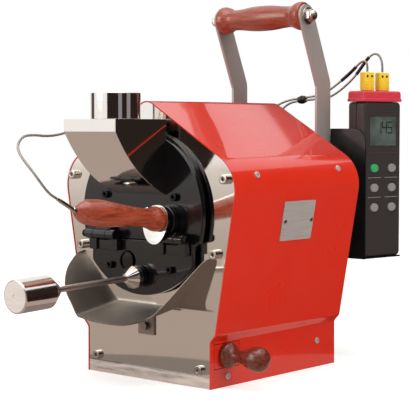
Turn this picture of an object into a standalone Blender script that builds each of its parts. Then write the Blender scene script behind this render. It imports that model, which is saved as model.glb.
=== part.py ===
"""Home coffee bean roaster: a turning drum in a bent sheet housing.

The front carries the filling hopper, the bean sampler, the weighted discharge
door and the bean tray. A chaff drawer slides out of the base, a gearmotor sits
behind, and a two-channel thermometer hangs in a cradle beside it.
Metres, +X to the right of the front, -Y towards the user, +Z up. The origin is
under the front rail, on the surface that the roaster stands on.
"""

import math

import bmesh
import bpy
from mathutils import Matrix, Vector

GAP = 0.0003                      # between pieces that rest on each other
RUN = 0.0003                      # round a piece that turns or slides
OVERRUN = 0.006                   # how far a cutter runs past what it cuts
CLOSE = 0.00001                   # merge distance of turned shapes

DRUM_HEIGHT = 0.180               # the shaft's axis, from which rises and drops count

# Housing: one bent sheet, open below, in front and behind.
SHEET = 0.0012
BASE_HALF = 0.0864
BASE_WALL = 0.047
KINK_OUT = 0.0066
KINK_RISE = 0.007
SHOULDER_HALF = 0.122
SHOULDER_RISE = 0.037             # above the shaft
SHOULDER_RADIUS = 0.038
RIDGE_RISE = 0.109
RIDGE_RADIUS = 0.016
BEND_RADIUS = 0.004
HOUSING_DEPTH = 0.209

# Base rails and end plates.
RAIL_DEPTH = 0.024
RAIL_HEIGHT = 0.012
RAIL_THICK = 0.0015
RAIL_INSET = 0.0005
PLATE_THICK = 0.0015
PLATE_BOLT_RADIUS = 0.0055
PLATE_BOLT_REACH = 0.008
LOW_BOLT_REACH = 0.0045
BOLT_EDGE = 0.0145
LOW_BOLT_RISE = 0.0060            # above the rail
MID_BOLT_DROP = 0.045             # below the shaft
HIGH_BOLT_RISE = 0.029
BOLT_SINK = 0.0008

# Drum, its shaft and its drive.
DRUM_RADIUS = 0.076
DRUM_WALL = 0.0015
DRUM_FRONT_CLEARANCE = 0.0015
DRUM_REAR_CLEARANCE = 0.009
VANE_COUNT = 4
VANE_RISE = 0.012
VANE_THICK = 0.0015
VANE_TWIST_DEGREES = 50
VANE_STEPS = 6
VANE_END_CLEARANCE = 0.008
SHAFT_RADIUS = 0.006
SHAFT_FLANGE_RADIUS = 0.024
SHAFT_FLANGE_THICK = 0.004
SHAFT_NOSE = 0.006
BEARING_RADIUS = 0.013
BEARING_FLANGE_RADIUS = 0.021
BEARING_FLANGE_THICK = 0.003
BEARING_LENGTH = 0.012
PLATE_SHAFT_CLEARANCE = 0.003
COUPLING_RADIUS = 0.010
COUPLING_LENGTH = 0.018
COUPLING_START = 0.0145
COUPLING_GRIP = 0.008
COUPLING_STUB_RADIUS = 0.004
GEARBOX_START = 0.038
GEARBOX_SIDE = 0.052
GEARBOX_DEPTH = 0.016
GEARBOX_BEVEL = 0.003
MOTOR_RADIUS = 0.021
MOTOR_LENGTH = 0.018
STANDOFF_RADIUS = 0.003
STANDOFF_EDGE = 0.008
COVER_DEPTH = 0.080
COVER_RISE = 0.070
COVER_DROP = 0.064
COVER_THICK = 0.0015
COVER_BEVEL = 0.005
VENT_COUNT = 6
VENT_WIDTH = 0.003
VENT_LENGTH = 0.040
VENT_PITCH = 0.009
INLET_RADIUS = 0.006
INLET_BORE_RADIUS = 0.0035
INLET_LENGTH = 0.009
INLET_DROP = 0.046

# Front disc, its standing ring and the discharge door below it.
MOUTH_RADIUS = 0.0735
RING_RADIUS = 0.086
DISC_RADIUS = 0.089
DISC_THICK = 0.0055
DISC_REACH = 0.009                # front face ahead of the housing
SEAM_DROP = 0.035
SEAM_GAP = 0.0006
DOOR_RADIUS = 0.0915
DOOR_HALF = 0.070
DISC_BEVEL = 0.0008
STUD_RADIUS = 0.004
STUD_REACH = 0.004
DISC_STUD_HALF = 0.048
DISC_STUD_RISE = 0.010
DOOR_STUD_HALF = 0.042
DOOR_STUD_DROP = 0.063
GLASS_RADIUS = 0.0098
GLASS_REACH = 0.0022
GLASS_X = -0.0185
GLASS_DROP = 0.0575
GLASS_LIP = 0.0015
GLASS_SUNK = 0.0011
PORT_X = -0.037
PORT_DROP = 0.018
PORT_RADIUS = 0.0045
PORT_CAP_RADIUS = 0.0072
PORT_CAP_REACH = 0.0045
PORT_DOME_SHARE = 0.7

# Hinge between disc and door: two knuckles, each in a clevis leaf.
HINGE_RISE = 0.004                # above the seam
HINGE_REACH = 0.009               # pin axis ahead of the disc's face
KNUCKLE_RADIUS = 0.005
KNUCKLE_LENGTH = 0.0126
KNUCKLE_CENTRE = 0.0475
KNUCKLE_FOOT_RISE = 0.0065
HINGE_EDGE = 0.00013              # webs and feet inside the barrels' ends
EAR_LENGTH = 0.0065
EAR_GAP = 0.0004
LEAF_DROP = 0.0165
LEAF_CLEAR = 0.006                # leaf's top edge under the pin axis
LEAF_THICK = 0.0042
WEB_SETBACK = 0.002               # behind the pin axis
WEB_DROP = 0.0006
PIN_RADIUS = 0.0023
PIN_HEAD_RADIUS = 0.0040
PIN_HEAD_LENGTH = 0.0042

# Weighted lever of the door, along its own axis.
LEVER_BELOW = 0.072               # the shaft
LEVER_DROP_DEGREES = 2.0
HUB_RADIUS = 0.01175
HUB_LENGTH = 0.016
HUB_CONE = 0.018
HUB_TIP_RADIUS = 0.0045
HUB_BEVEL = 0.001
SOCKET_DEPTH = 0.008
ROD_RADIUS = 0.003
ROD_VISIBLE = 0.088
WEIGHT_RADIUS = 0.0172
WEIGHT_LENGTH = 0.034
WEIGHT_NECK_LENGTH = 0.012
WEIGHT_NECK_RADIUS = 0.0062
WEIGHT_BEVEL = 0.0015

# Sampler: a trier tube that slides through a guide in the disc.
SAMPLER_X = 0.0387
SAMPLER_BELOW = 0.0134
SAMPLER_RISE_DEGREES = 6.8
GUIDE_RADIUS = 0.0110
GUIDE_REACH = 0.0135
TRIER_RADIUS = 0.0075
TRIER_WALL = 0.0010
TRIER_INSIDE = 0.085
SCOOP_LENGTH = 0.052
SCOOP_INSET = 0.006
SHIELD_HALF = 0.0190
SHIELD_LENGTH = 0.0430
SHIELD_THICK = 0.0016
SHIELD_DROP = 0.0065
SHIELD_OUT = 0.0036
SHIELD_GAP = 0.0010
SHIELD_FOOT_SHARE = 0.62
SHIELD_STEPS = 36
WOOD_LENGTH = 0.112
WOOD_FLANGE_RADIUS = 0.0125
WOOD_NECK_RADIUS = 0.0095
WOOD_BULGE_RADIUS = 0.0130
WOOD_TIP_RADIUS = 0.0070
WOOD_BORE_DEPTH = 0.020
SLEEVE_RADIUS = 0.0020
SLEEVE_LENGTH = 0.027
SLEEVE_RISE_DEGREES = 28.0
SLEEVE_SEAT = 0.004

# Hopper: a chute of sheet with an open collar on top.
HOPPER_HALF = 0.036
HOPPER_REACH = 0.072              # ahead of the disc's face
HOPPER_TOP_RISE = 0.0875
HOPPER_BAND = 0.0155
HOPPER_FOOT_RISE = 0.0118
HOPPER_FRONT_DEGREES = 60.0
HOPPER_FOOT_DEGREES = 21.0
HOPPER_SHEET = 0.0012
HOPPER_STEPS = 12
FEED_RISE = 0.066
COLLAR_RADIUS = 0.0253
COLLAR_WALL = 0.0012
COLLAR_RISE = 0.026
COLLAR_REACH = 0.036              # its axis ahead of the disc's face

# Bean tray: a trough of sheet under the door.
TRAY_FLOOR_DROP = 0.101
TRAY_FLOOR_HALF = 0.042
TRAY_WING_HALF = 0.090
TRAY_REACH = 0.064
TRAY_WING_REACH = 0.012
TRAY_SLOPE_DEGREES = 10.0
TRAY_SHEET = 0.0012
TRAY_BEND_RADIUS = 0.008
TRAY_ROUND_POWER = 2.6
TRAY_OUTLINE_STEPS = 24
FLANGE_DROP = 0.013
BRACKET_HALF = 0.011
BRACKET_THICK = 0.0018
BRACKET_LEG = 0.030
BRACKET_ARM = 0.040
BRACKET_PLAY = 0.00045
BRACKET_BOLT_DROP = 0.021

# Carry handle: two flat bars, a turned grip and its tie rod.
BAR_CENTRE = 0.060
BAR_THICK = 0.003
BAR_WIDTH = 0.025
BAR_FOOT_DROP = 0.020
BAR_BEND_RISE = 0.018             # above the ridge
GRIP_RISE = 0.092
GRIP_FORWARD = 0.0315             # grip axis ahead of the bar's middle
GRIP_END_RADIUS = 0.0155
GRIP_NECK_RADIUS = 0.0115
GRIP_BULGE_RADIUS = 0.0140
TIE_RADIUS = 0.004
WASHER_RADIUS = 0.0095
WASHER_THICK = 0.0015
NUT_RADIUS = 0.0072
NUT_LENGTH = 0.0055
DOME_RADIUS = 0.0058
DOME_LENGTH = 0.0050
DOME_TIP_SHARE = 0.45
DOME_RISE_SHARE = 0.3
DOME_SIDE_SHARE = 0.85
BAR_BOLT_RADIUS = 0.0045
BAR_BOLT_REACH = 0.003
BAR_BOLT_DROP = 0.002
BAR_BOLT_RISE = 0.046

# Thermometer: its case is turned a little towards the front.
METER_X = 0.1065
METER_BEHIND = 0.0265             # front edge behind the housing
METER_DROP = 0.0644               # its foot below the shaft
METER_WIDTH = 0.0590
METER_DEPTH = 0.0260
METER_BODY_HEIGHT = 0.1720
METER_CAP_HEIGHT = 0.0118
METER_TURN_DEGREES = 9.65
METER_BEVEL = 0.0035
CAP_LEDGE = 0.0012
SCREEN_WIDTH = 0.0420
SCREEN_HEIGHT = 0.0330
SCREEN_MARGIN = 0.0160            # its upper edge below the case's top
SCREEN_DEPTH = 0.0018
SCREEN_PROUD = 0.0003
BUTTON_WIDTH = 0.0125
BUTTON_HEIGHT = 0.0095
BUTTON_LENGTH = 0.0050
BUTTON_PROUD = 0.0018
BUTTON_WELL = 0.0060
BUTTON_COLUMN_HALF = 0.0140
BUTTON_ROW_PITCH = 0.0218
BUTTON_DROP = 0.0245              # top row below the screen
BUTTON_ROWS = 3
PLUG_WIDTH = 0.0160
PLUG_DEPTH = 0.0080
PLUG_HEIGHT = 0.0205
PLUG_HALF_PITCH = 0.0120
PLUG_BEVEL = 0.0010
CRADLE_THICK = 0.0015
CRADLE_RISE = 0.1424              # above the case's foot
CRADLE_LIP = 0.0025
CRADLE_ROUND = 0.016
CRADLE_BACK_WIDTH = 0.046
CRADLE_BACK_RISE = 0.100

# Chaff drawer in the right base wall, on a folded shelf.
DRAWER_START = 0.0055             # behind the housing's front edge
DRAWER_WIDTH = 0.039
DRAWER_FLOOR = 0.0190
DRAWER_HEIGHT = 0.0255
DRAWER_LENGTH = 0.118
DRAWER_CLEARANCE = 0.0006
DRAWER_FRONT_THICK = 0.0018
DRAWER_SHEET = 0.0010
DRAWER_TRAY_DROP = 0.004
SHELF_SHEET = 0.0012
SHELF_LIP = 0.005
KNOB_LENGTH = 0.0515
KNOB_BASE_RADIUS = 0.0130
KNOB_NECK_RADIUS = 0.0065
KNOB_BALL_RADIUS = 0.0127

# Bare plate on the right side.
LABEL_START = 0.080
LABEL_WIDTH = 0.055
LABEL_HEIGHT = 0.041
LABEL_THICK = 0.0010
LABEL_DROP = 0.036
LABEL_SCREW_RADIUS = 0.0022
LABEL_SCREW_REACH = 0.0010
LABEL_SCREW_EDGE = 0.0040

# Thermocouple leads.
LEAD_RADIUS = 0.00125
LEAD_SPACING = 0.0115
LEAD_GAP = 0.0006                 # to what its ends meet
LEAD_STRAIGHT = 0.010
LEAD_LIFT = 0.0006                # its play above the roof
ROUTE_STEPS = 24
GLAND_X = -0.020
GLAND_DROP = 0.0142               # below the roof over it
GLAND_RADIUS = 0.0050
GLAND_LENGTH = 0.011
GLAND_BORE_RADIUS = 0.0019
GLAND_FLANGE_RADIUS = 0.0072
GLAND_FLANGE_THICK = 0.0025
BEAD_RADIUS = 0.0055
BEAD_BORE_RADIUS = 0.0038
BEAD_LENGTH = 0.022
BEAD_LEAD = 0.007                 # straight lead past the bead's ends
BEAD_X = 0.014
BEAD_BEHIND = 0.036               # the housing
BEAD_RISE = 0.002                 # above the ridge
BEAD_RUN = (0.95, 0.10, 0.12)     # its direction

# Places worked out from the sizes above.
SHOULDER_HEIGHT = DRUM_HEIGHT + SHOULDER_RISE
RIDGE_HEIGHT = DRUM_HEIGHT + RIDGE_RISE
ROOF_FALL = (RIDGE_HEIGHT - SHOULDER_HEIGHT) / SHOULDER_HALF
SEAM_HEIGHT = DRUM_HEIGHT - SEAM_DROP
HINGE_HEIGHT = SEAM_HEIGHT + HINGE_RISE
GLASS_HEIGHT = DRUM_HEIGHT - GLASS_DROP
PORT_HEIGHT = DRUM_HEIGHT - PORT_DROP
LEVER_HEIGHT = DRUM_HEIGHT - LEVER_BELOW
SAMPLER_HEIGHT = DRUM_HEIGHT - SAMPLER_BELOW
HOPPER_TOP = DRUM_HEIGHT + HOPPER_TOP_RISE
HOPPER_FOOT = DRUM_HEIGHT + HOPPER_FOOT_RISE
FEED_TOP = DRUM_HEIGHT + FEED_RISE
TRAY_FLOOR_HEIGHT = DRUM_HEIGHT - TRAY_FLOOR_DROP
COVER_TOP = DRUM_HEIGHT + COVER_RISE
COVER_BOTTOM = DRUM_HEIGHT - COVER_DROP
BAR_FOOT = DRUM_HEIGHT - BAR_FOOT_DROP
BAR_BEND_HEIGHT = RIDGE_HEIGHT + BAR_BEND_RISE
GRIP_HEIGHT = RIDGE_HEIGHT + GRIP_RISE
METER_BASE = DRUM_HEIGHT - METER_DROP
CRADLE_TOP = METER_BASE + CRADLE_RISE
LABEL_LOW = DRUM_HEIGHT - LABEL_DROP
GLAND_HEIGHT = RIDGE_HEIGHT - ROOF_FALL * abs(GLAND_X) - GLAND_DROP
FRONT_Y = -RAIL_DEPTH / 2
BACK_Y = FRONT_Y + HOUSING_DEPTH
PLATE_INSET = RAIL_INSET + RAIL_THICK + GAP
PLATE_FRONT = FRONT_Y + PLATE_INSET
PLATE_BACK = PLATE_FRONT + PLATE_THICK
REAR_OUTER = BACK_Y - PLATE_INSET
REAR_INNER = REAR_OUTER - PLATE_THICK
DISC_FRONT = FRONT_Y - DISC_REACH
DISC_BACK = DISC_FRONT + DISC_THICK
DRUM_FRONT = PLATE_BACK + DRUM_FRONT_CLEARANCE
DRUM_BACK = REAR_INNER - DRUM_REAR_CLEARANCE
PIN_Y = DISC_FRONT - HINGE_REACH
BAR_Y = BACK_Y + BAR_WIDTH / 2
COVER_HALF = BAR_CENTRE - BAR_THICK / 2 - GAP
METER_TURN = math.radians(METER_TURN_DEGREES)
METER_Y = BACK_Y + METER_BEHIND
METER_TOP = METER_BASE + METER_BODY_HEIGHT + GAP + METER_CAP_HEIGHT
SCREEN_LOW = METER_BODY_HEIGHT - SCREEN_MARGIN - SCREEN_HEIGHT
SLEEVE_RISE = math.radians(SLEEVE_RISE_DEGREES)
SAMPLER_RISE = math.radians(SAMPLER_RISE_DEGREES)
LEVER_DROP = math.radians(LEVER_DROP_DEGREES)
TRAY_SLOPE = math.radians(TRAY_SLOPE_DEGREES)

ACROSS = Vector((1, 0, 0))
BACKWARD = Vector((0, 1, 0))
FORWARD = Vector((0, -1, 0))
UPWARD = Vector((0, 0, 1))

# Finish: colour, roughness, metallic.
FINISHES = {
    "red_paint": ((0.72, 0.06, 0.02), 0.22, 0.0),
    "mirror_steel": ((0.78, 0.77, 0.75), 0.08, 1.0),
    "brushed_steel": ((0.62, 0.61, 0.60), 0.32, 1.0),
    "raw_steel": ((0.45, 0.44, 0.43), 0.45, 1.0),
    "black_paint": ((0.012, 0.012, 0.014), 0.25, 0.0),
    "black_plastic": ((0.020, 0.020, 0.022), 0.55, 0.0),
    "grey_plastic": ((0.055, 0.050, 0.048), 0.55, 0.0),
    "red_plastic": ((0.55, 0.02, 0.03), 0.45, 0.0),
    "yellow_plastic": ((0.80, 0.55, 0.05), 0.50, 0.0),
    "red_wood": ((0.22, 0.05, 0.02), 0.35, 0.0),
    "screen_glass": ((0.20, 0.22, 0.20), 0.15, 0.0),
    "sight_glass": ((0.04, 0.04, 0.04), 0.05, 0.0),
    "green_rubber": ((0.03, 0.45, 0.20), 0.60, 0.0),
    "grey_rubber": ((0.28, 0.27, 0.26), 0.60, 0.0),
    "braid": ((0.45, 0.44, 0.42), 0.50, 0.6),
}


def clear_scene():
    """Remove every object, so that the script can be run again."""
    for item in list(bpy.data.objects):
        bpy.data.objects.remove(item, do_unlink=True)


def collection(name):
    """Return the scene's collection of that name."""
    found = bpy.data.collections.get(name)
    if found is None:
        found = bpy.data.collections.new(name)
        bpy.context.scene.collection.children.link(found)
    return found


def material(finish):
    """Return the material of a finish, made once."""
    found = bpy.data.materials.get(finish)
    if found is None:
        colour, roughness, metallic = FINISHES[finish]
        found = bpy.data.materials.new(finish)
        found.use_nodes = True
        shader = found.node_tree.nodes["Principled BSDF"]
        shader.inputs["Base Color"].default_value = (*colour, 1.0)
        shader.inputs["Roughness"].default_value = roughness
        shader.inputs["Metallic"].default_value = metallic
    return found


def add_object(name, data, place=None):
    """Link new data to the scene as an object at a place."""
    item = bpy.data.objects.new(name, data)
    collection("parts_in_work").objects.link(item)
    if place is not None:
        item.matrix_world = place
    return item


def finish_part(item, finish):
    """Put a finished piece in the roaster's collection."""
    item.data.materials.clear()
    item.data.materials.append(material(finish))
    collection("parts_in_work").objects.unlink(item)
    collection("coffee_roaster").objects.link(item)
    return item


def hide_cutter(item):
    """Turn a solid into a cutter, which is no part of the roaster."""
    item.hide_render = True
    item.display_type = "WIRE"
    collection("parts_in_work").objects.unlink(item)
    collection("cutters").objects.link(item)


def combine(item, other, operation):
    """Cut, join or intersect a piece with another solid."""
    step = item.modifiers.new(operation.title(), "BOOLEAN")
    step.operation = operation
    step.object = other
    hide_cutter(other)
    return item


def cut(item, *cutters):
    """Take each cutter away from a piece."""
    for cutter in cutters:
        combine(item, cutter, "DIFFERENCE")
    return item


def fuse(item, *others):
    """Join each solid to a piece."""
    for other in others:
        combine(item, other, "UNION")
    return item


def bevel(item, width, segments=1):
    """Round the piece's edges."""
    step = item.modifiers.new("Bevel", "BEVEL")
    step.width = width
    step.segments = segments
    step.limit_method = "ANGLE"
    return item


def mesh_object(name, mesh_builder, place=None):
    """Make an object from what a function builds in a bmesh."""
    mesh = bpy.data.meshes.new(name)
    shape = bmesh.new()
    mesh_builder(shape)
    bmesh.ops.recalc_face_normals(shape, faces=shape.faces)
    shape.to_mesh(mesh)
    shape.free()
    return add_object(name, mesh, place)


def box(name, low, high, place=None):
    """Return a box between two opposite corners."""
    low, high = Vector(low), Vector(high)
    size = high - low

    def build(shape):
        bmesh.ops.create_cube(shape, size=1.0)
        bmesh.ops.scale(shape, vec=size, verts=shape.verts)
        bmesh.ops.translate(shape, vec=(low + high) / 2, verts=shape.verts)

    return mesh_object(name, build, place)


def along(start, direction):
    """Return the place whose local Z runs along a direction from a start."""
    turn = UPWARD.rotation_difference(Vector(direction))
    return Matrix.Translation(Vector(start)) @ turn.to_matrix().to_4x4()


def cylinder(name, start, direction, length, radius, sides=24):
    """Return a cylinder from a start along a direction."""
    def build(shape):
        bmesh.ops.create_cone(
            shape, cap_ends=True, segments=sides, radius1=radius, radius2=radius, depth=length
        )
        bmesh.ops.translate(shape, vec=(0, 0, length / 2), verts=shape.verts)

    item = mesh_object(name, build, along(start, direction))
    smooth(item)
    return item


def smooth(item):
    """Shade a round piece smooth, with sharp edges kept."""
    item.data.shade_smooth()
    item.data.set_sharp_from_angle(angle=math.radians(40))


def turned(name, profile, start, direction, sides=24, ring=False):
    """Return a turned piece.

    The profile lists (distance, radius) along the axis from the start. It runs
    along the outer side away from the start; a ring's profile comes back inside.
    """
    mesh = bpy.data.meshes.new(name)
    points = [(radius, 0, distance) for distance, radius in reversed(profile)]
    edges = [(index, index + 1) for index in range(len(points) - 1)]
    if ring:
        edges.append((len(points) - 1, 0))
    mesh.from_pydata(points, edges, [])
    item = add_object(name, mesh, along(start, direction))
    step = item.modifiers.new("Screw", "SCREW")
    step.axis = "Z"
    step.steps = sides
    step.render_steps = sides
    step.use_merge_vertices = True
    step.merge_threshold = CLOSE
    step.use_smooth_shade = True
    return item


def meshed(item):
    """Replace a curve object by its mesh, with the caps welded on."""
    view = bpy.context.evaluated_depsgraph_get()
    mesh = bpy.data.meshes.new_from_object(item.evaluated_get(view))
    shape = bmesh.new()
    shape.from_mesh(mesh)
    bmesh.ops.remove_doubles(shape, verts=shape.verts, dist=CLOSE)
    bmesh.ops.recalc_face_normals(shape, faces=shape.faces)
    shape.to_mesh(mesh)
    shape.free()
    name, place = item.name, item.matrix_world.copy()
    bpy.data.objects.remove(item, do_unlink=True)
    return add_object(name, mesh, place)


def slab(name, outlines, thickness, place):
    """Return a flat plate: its outline and any holes, filled and thickened.

    The outlines lie in local XY, and the plate spans local Z from 0 to its
    thickness.
    """
    curve = bpy.data.curves.new(name, "CURVE")
    curve.dimensions = "2D"
    curve.fill_mode = "BOTH"
    curve.extrude = thickness / 2
    for outline in outlines:
        spline = curve.splines.new("POLY")
        spline.points.add(len(outline) - 1)
        for point, (across, up) in zip(spline.points, outline):
            point.co = (across, up, 0, 1)
        spline.use_cyclic_u = True
    item = add_object(name, curve, place @ Matrix.Translation((0, 0, thickness / 2)))
    bpy.context.view_layer.update()
    return meshed(item)


def facing_front(front_y):
    """Return the place of a plate drawn in X and Z, running back from a depth."""
    return Matrix(((1, 0, 0, 0), (0, 0, 1, front_y), (0, 1, 0, 0), (0, 0, 0, 1)))


def facing_side(start_x):
    """Return the place of a plate drawn in Y and Z, running right from a start."""
    return Matrix(((0, 0, 1, start_x), (1, 0, 0, 0), (0, 1, 0, 0), (0, 0, 0, 1)))


def rounded(corners, radii, steps=6, closed=False):
    """Return a path whose corners are arcs of the given radii."""
    count = len(corners)
    path = []
    for index, corner in enumerate(corners):
        here, radius = Vector(corner), radii[index]
        is_end = not closed and index in (0, count - 1)
        if is_end or radius == 0:
            path.append(tuple(here))
            continue
        before = (Vector(corners[index - 1]) - here).normalized()
        after = (Vector(corners[(index + 1) % count]) - here).normalized()
        half = before.angle(after) / 2
        middle = here + (before + after).normalized() * radius / math.sin(half)
        first = here + before * radius / math.tan(half) - middle
        last = here + after * radius / math.tan(half) - middle
        sweep = first.angle_signed(last)
        for step in range(steps + 1):
            turn = Matrix.Rotation(-sweep * step / steps, 2)
            path.append(tuple(middle + turn @ first))
    return path


def offset(path, distance):
    """Return an open path moved to its left by a distance, mitred."""
    moved = []
    for index, point in enumerate(path):
        here = Vector(point)
        sides = []
        if index > 0:
            sides.append((here - Vector(path[index - 1])).normalized())
        if index < len(path) - 1:
            sides.append((Vector(path[index + 1]) - here).normalized())
        normals = [Vector((-side.y, side.x)) for side in sides]
        middle = sum(normals, Vector((0, 0))).normalized()
        moved.append(tuple(here + middle * distance / middle.dot(normals[0])))
    return moved


def circle_points(centre, radius, steps=24):
    """Return points round a circle."""
    points = []
    for step in range(steps):
        angle = 2 * math.pi * step / steps
        points.append((centre[0] + radius * math.cos(angle), centre[1] + radius * math.sin(angle)))
    return points


def arc_points(centre, radius, first, last, steps):
    """Return points along an arc between two angles in radians."""
    points = []
    for step in range(steps + 1):
        angle = first + (last - first) * step / steps
        points.append((centre[0] + radius * math.cos(angle), centre[1] + radius * math.sin(angle)))
    return points


def pivot(name, place, pieces):
    """Parent moving pieces to an empty on their joint's axis."""
    guide = bpy.data.objects.new(name, None)
    collection("joints").objects.link(guide)
    guide.location = place
    bpy.context.view_layer.update()
    for piece in pieces:
        stay = piece.matrix_world.copy()
        piece.parent = guide
        piece.matrix_parent_inverse = guide.matrix_world.inverted()
        piece.matrix_world = stay


def wall_half(height):
    """Return the housing's outer half width at a height of its flared side."""
    low = BASE_WALL + KINK_RISE
    share = (height - low) / (SHOULDER_HEIGHT - low)
    return BASE_HALF + KINK_OUT + share * (SHOULDER_HALF - BASE_HALF - KINK_OUT)


def roof_height(across):
    """Return the housing's outer height at a distance from its middle plane."""
    return RIDGE_HEIGHT - ROOF_FALL * abs(across)


def flare_angle():
    """Return the lean of the housing's sides from upright."""
    low = BASE_WALL + KINK_RISE
    return math.atan2(SHOULDER_HALF - BASE_HALF - KINK_OUT, SHOULDER_HEIGHT - low)


def housing_path(foot=0.0):
    """Return the sheet's outer path, from the left foot over to the right one."""
    kink = BASE_WALL + KINK_RISE
    corners = [
        (-BASE_HALF, foot),
        (-BASE_HALF, BASE_WALL),
        (-BASE_HALF - KINK_OUT, kink),
        (-SHOULDER_HALF, SHOULDER_HEIGHT),
        (0, RIDGE_HEIGHT),
        (SHOULDER_HALF, SHOULDER_HEIGHT),
        (BASE_HALF + KINK_OUT, kink),
        (BASE_HALF, BASE_WALL),
        (BASE_HALF, foot),
    ]
    side = [0, BEND_RADIUS, BEND_RADIUS, SHOULDER_RADIUS]
    return rounded(corners, side + [RIDGE_RADIUS] + side[::-1])


def inner_outline(foot):
    """Return the outline that fits inside the sheet, from a foot upwards."""
    return offset(housing_path(foot), -SHEET - GAP)


def make_housing():
    """Bent sheet with the drawer's opening in its right base wall."""
    path = housing_path()

    def build(shape):
        first = [shape.verts.new((x, FRONT_Y, z)) for x, z in path]
        edges = [shape.edges.new(pair) for pair in zip(first, first[1:])]
        grown = bmesh.ops.extrude_edge_only(shape, edges=edges)
        fresh = [item for item in grown["geom"] if isinstance(item, bmesh.types.BMVert)]
        bmesh.ops.translate(shape, vec=(0, HOUSING_DEPTH, 0), verts=fresh)

    shell = mesh_object("housing_shell", build)
    step = shell.modifiers.new("Solidify", "SOLIDIFY")
    step.thickness = SHEET
    step.offset = housing_side(shell)
    step.use_even_offset = True
    opening = box(
        "drawer_opening",
        (BASE_HALF - SHEET - OVERRUN, FRONT_Y + DRAWER_START, DRAWER_FLOOR),
        (BASE_HALF + OVERRUN, FRONT_Y + DRAWER_START + DRAWER_WIDTH, DRAWER_FLOOR + DRAWER_HEIGHT),
    )
    cut(shell, opening)
    smooth(shell)
    finish_part(shell, "red_paint")


def housing_side(shell):
    """Return the Solidify side that thickens the housing inwards."""
    face = shell.data.polygons[0]
    outward = face.normal.x * face.center.x > 0
    return -1.0 if outward else 1.0


def bolt_places():
    """Return the end plates' bolt places, each with its reach."""
    places = []
    for height, reach in (
        (DRUM_HEIGHT + HIGH_BOLT_RISE, PLATE_BOLT_REACH),
        (DRUM_HEIGHT - MID_BOLT_DROP, PLATE_BOLT_REACH),
        (RAIL_HEIGHT + LOW_BOLT_RISE, LOW_BOLT_REACH),
    ):
        half = wall_half(height) if height > BASE_WALL else BASE_HALF
        for side in (-1, 1):
            places.append((side * (half - BOLT_EDGE), height, reach))
    return places


def make_front_plate():
    """Mirror plate with the drum's mouth and six cap bolts."""
    outline = inner_outline(RAIL_THICK + GAP)
    mouth = circle_points((0, DRUM_HEIGHT), MOUTH_RADIUS, 40)
    plate = slab("front_plate", [outline, mouth], PLATE_THICK, facing_front(PLATE_FRONT))
    for index, (across, height, reach) in enumerate(bolt_places()):
        start = (across, PLATE_FRONT + BOLT_SINK, height)
        head = cylinder(
            f"front_bolt_{index}", start, FORWARD, reach + BOLT_SINK, PLATE_BOLT_RADIUS, sides=16
        )
        fuse(plate, head)
    finish_part(plate, "mirror_steel")


def make_rear_plate():
    """Plate with the shaft's passage and the lead's hole."""
    outline = inner_outline(RAIL_THICK + GAP)
    passage = circle_points((0, DRUM_HEIGHT), SHAFT_RADIUS + PLATE_SHAFT_CLEARANCE, 24)
    lead_hole = circle_points((GLAND_X, GLAND_HEIGHT), GLAND_RADIUS + GAP, 16)
    plate = slab(
        "rear_plate", [outline, passage, lead_hole], PLATE_THICK, facing_front(REAR_INNER)
    )
    finish_part(plate, "brushed_steel")


def make_rail(name, edge_y, inward):
    """Angle across the base, standing just inside the sheet's open end."""
    half = BASE_HALF - SHEET - GAP
    start = edge_y + inward * RAIL_INSET
    section = [
        (start, 0),
        (start + inward * RAIL_DEPTH, 0),
        (start + inward * RAIL_DEPTH, RAIL_THICK),
        (start + inward * RAIL_THICK, RAIL_THICK),
        (start + inward * RAIL_THICK, RAIL_HEIGHT),
        (start, RAIL_HEIGHT),
    ]
    rail = slab(name, [section], 2 * half, facing_side(-half))
    finish_part(rail, "mirror_steel")


def make_mouth_ring():
    """Ring that stands the front disc off the plate."""
    start = DISC_BACK + GAP
    length = PLATE_FRONT - GAP - start
    ring = turned(
        "mouth_ring",
        [(0, MOUTH_RADIUS), (0, RING_RADIUS), (length, RING_RADIUS), (length, MOUTH_RADIUS)],
        (0, start, DRUM_HEIGHT),
        BACKWARD,
        sides=40,
        ring=True,
    )
    finish_part(ring, "black_paint")


def disc_studs(name, half, height):
    """Return the two socket bolts of a front plate at a height."""
    studs = []
    for side in (-1, 1):
        studs.append(
            cylinder(
                f"{name}_{side}",
                (side * half, DISC_FRONT + BOLT_SINK, height),
                FORWARD,
                STUD_REACH + BOLT_SINK,
                STUD_RADIUS,
                sides=12,
            )
        )
    return studs


def make_upper_disc():
    """Fixed part of the front disc, with feed, sampler and port openings."""
    seam = SEAM_HEIGHT + SEAM_GAP / 2 - DRUM_HEIGHT
    corner = math.asin(seam / DISC_RADIUS)
    rim = arc_points((0, DRUM_HEIGHT), DISC_RADIUS, corner, math.pi - corner, 30)
    feed_half = HOPPER_HALF - 2 * HOPPER_SHEET
    feed_foot = HOPPER_FOOT + 2 * HOPPER_SHEET
    feed = [
        (-feed_half, feed_foot),
        (feed_half, feed_foot),
        (feed_half, FEED_TOP),
        (-feed_half, FEED_TOP),
    ]
    port = circle_points((PORT_X, PORT_HEIGHT), PORT_RADIUS + GAP, 20)
    disc = slab("upper_front_disc", [rim, feed, port], DISC_THICK, facing_front(DISC_FRONT))
    bevel(disc, DISC_BEVEL)
    bore = cylinder(
        "guide_bore", sampler_point(-OVERRUN - DISC_THICK), sampler_axis(),
        2 * OVERRUN + DISC_THICK, GUIDE_RADIUS + GAP,
    )
    cut(disc, bore)
    fuse(disc, *disc_studs("disc_stud", DISC_STUD_HALF, DRUM_HEIGHT + DISC_STUD_RISE))
    finish_part(disc, "black_paint")


def sampler_axis():
    """Return the sampler's direction, out of the disc towards the user."""
    return Vector((0, -math.cos(SAMPLER_RISE), math.sin(SAMPLER_RISE)))


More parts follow.
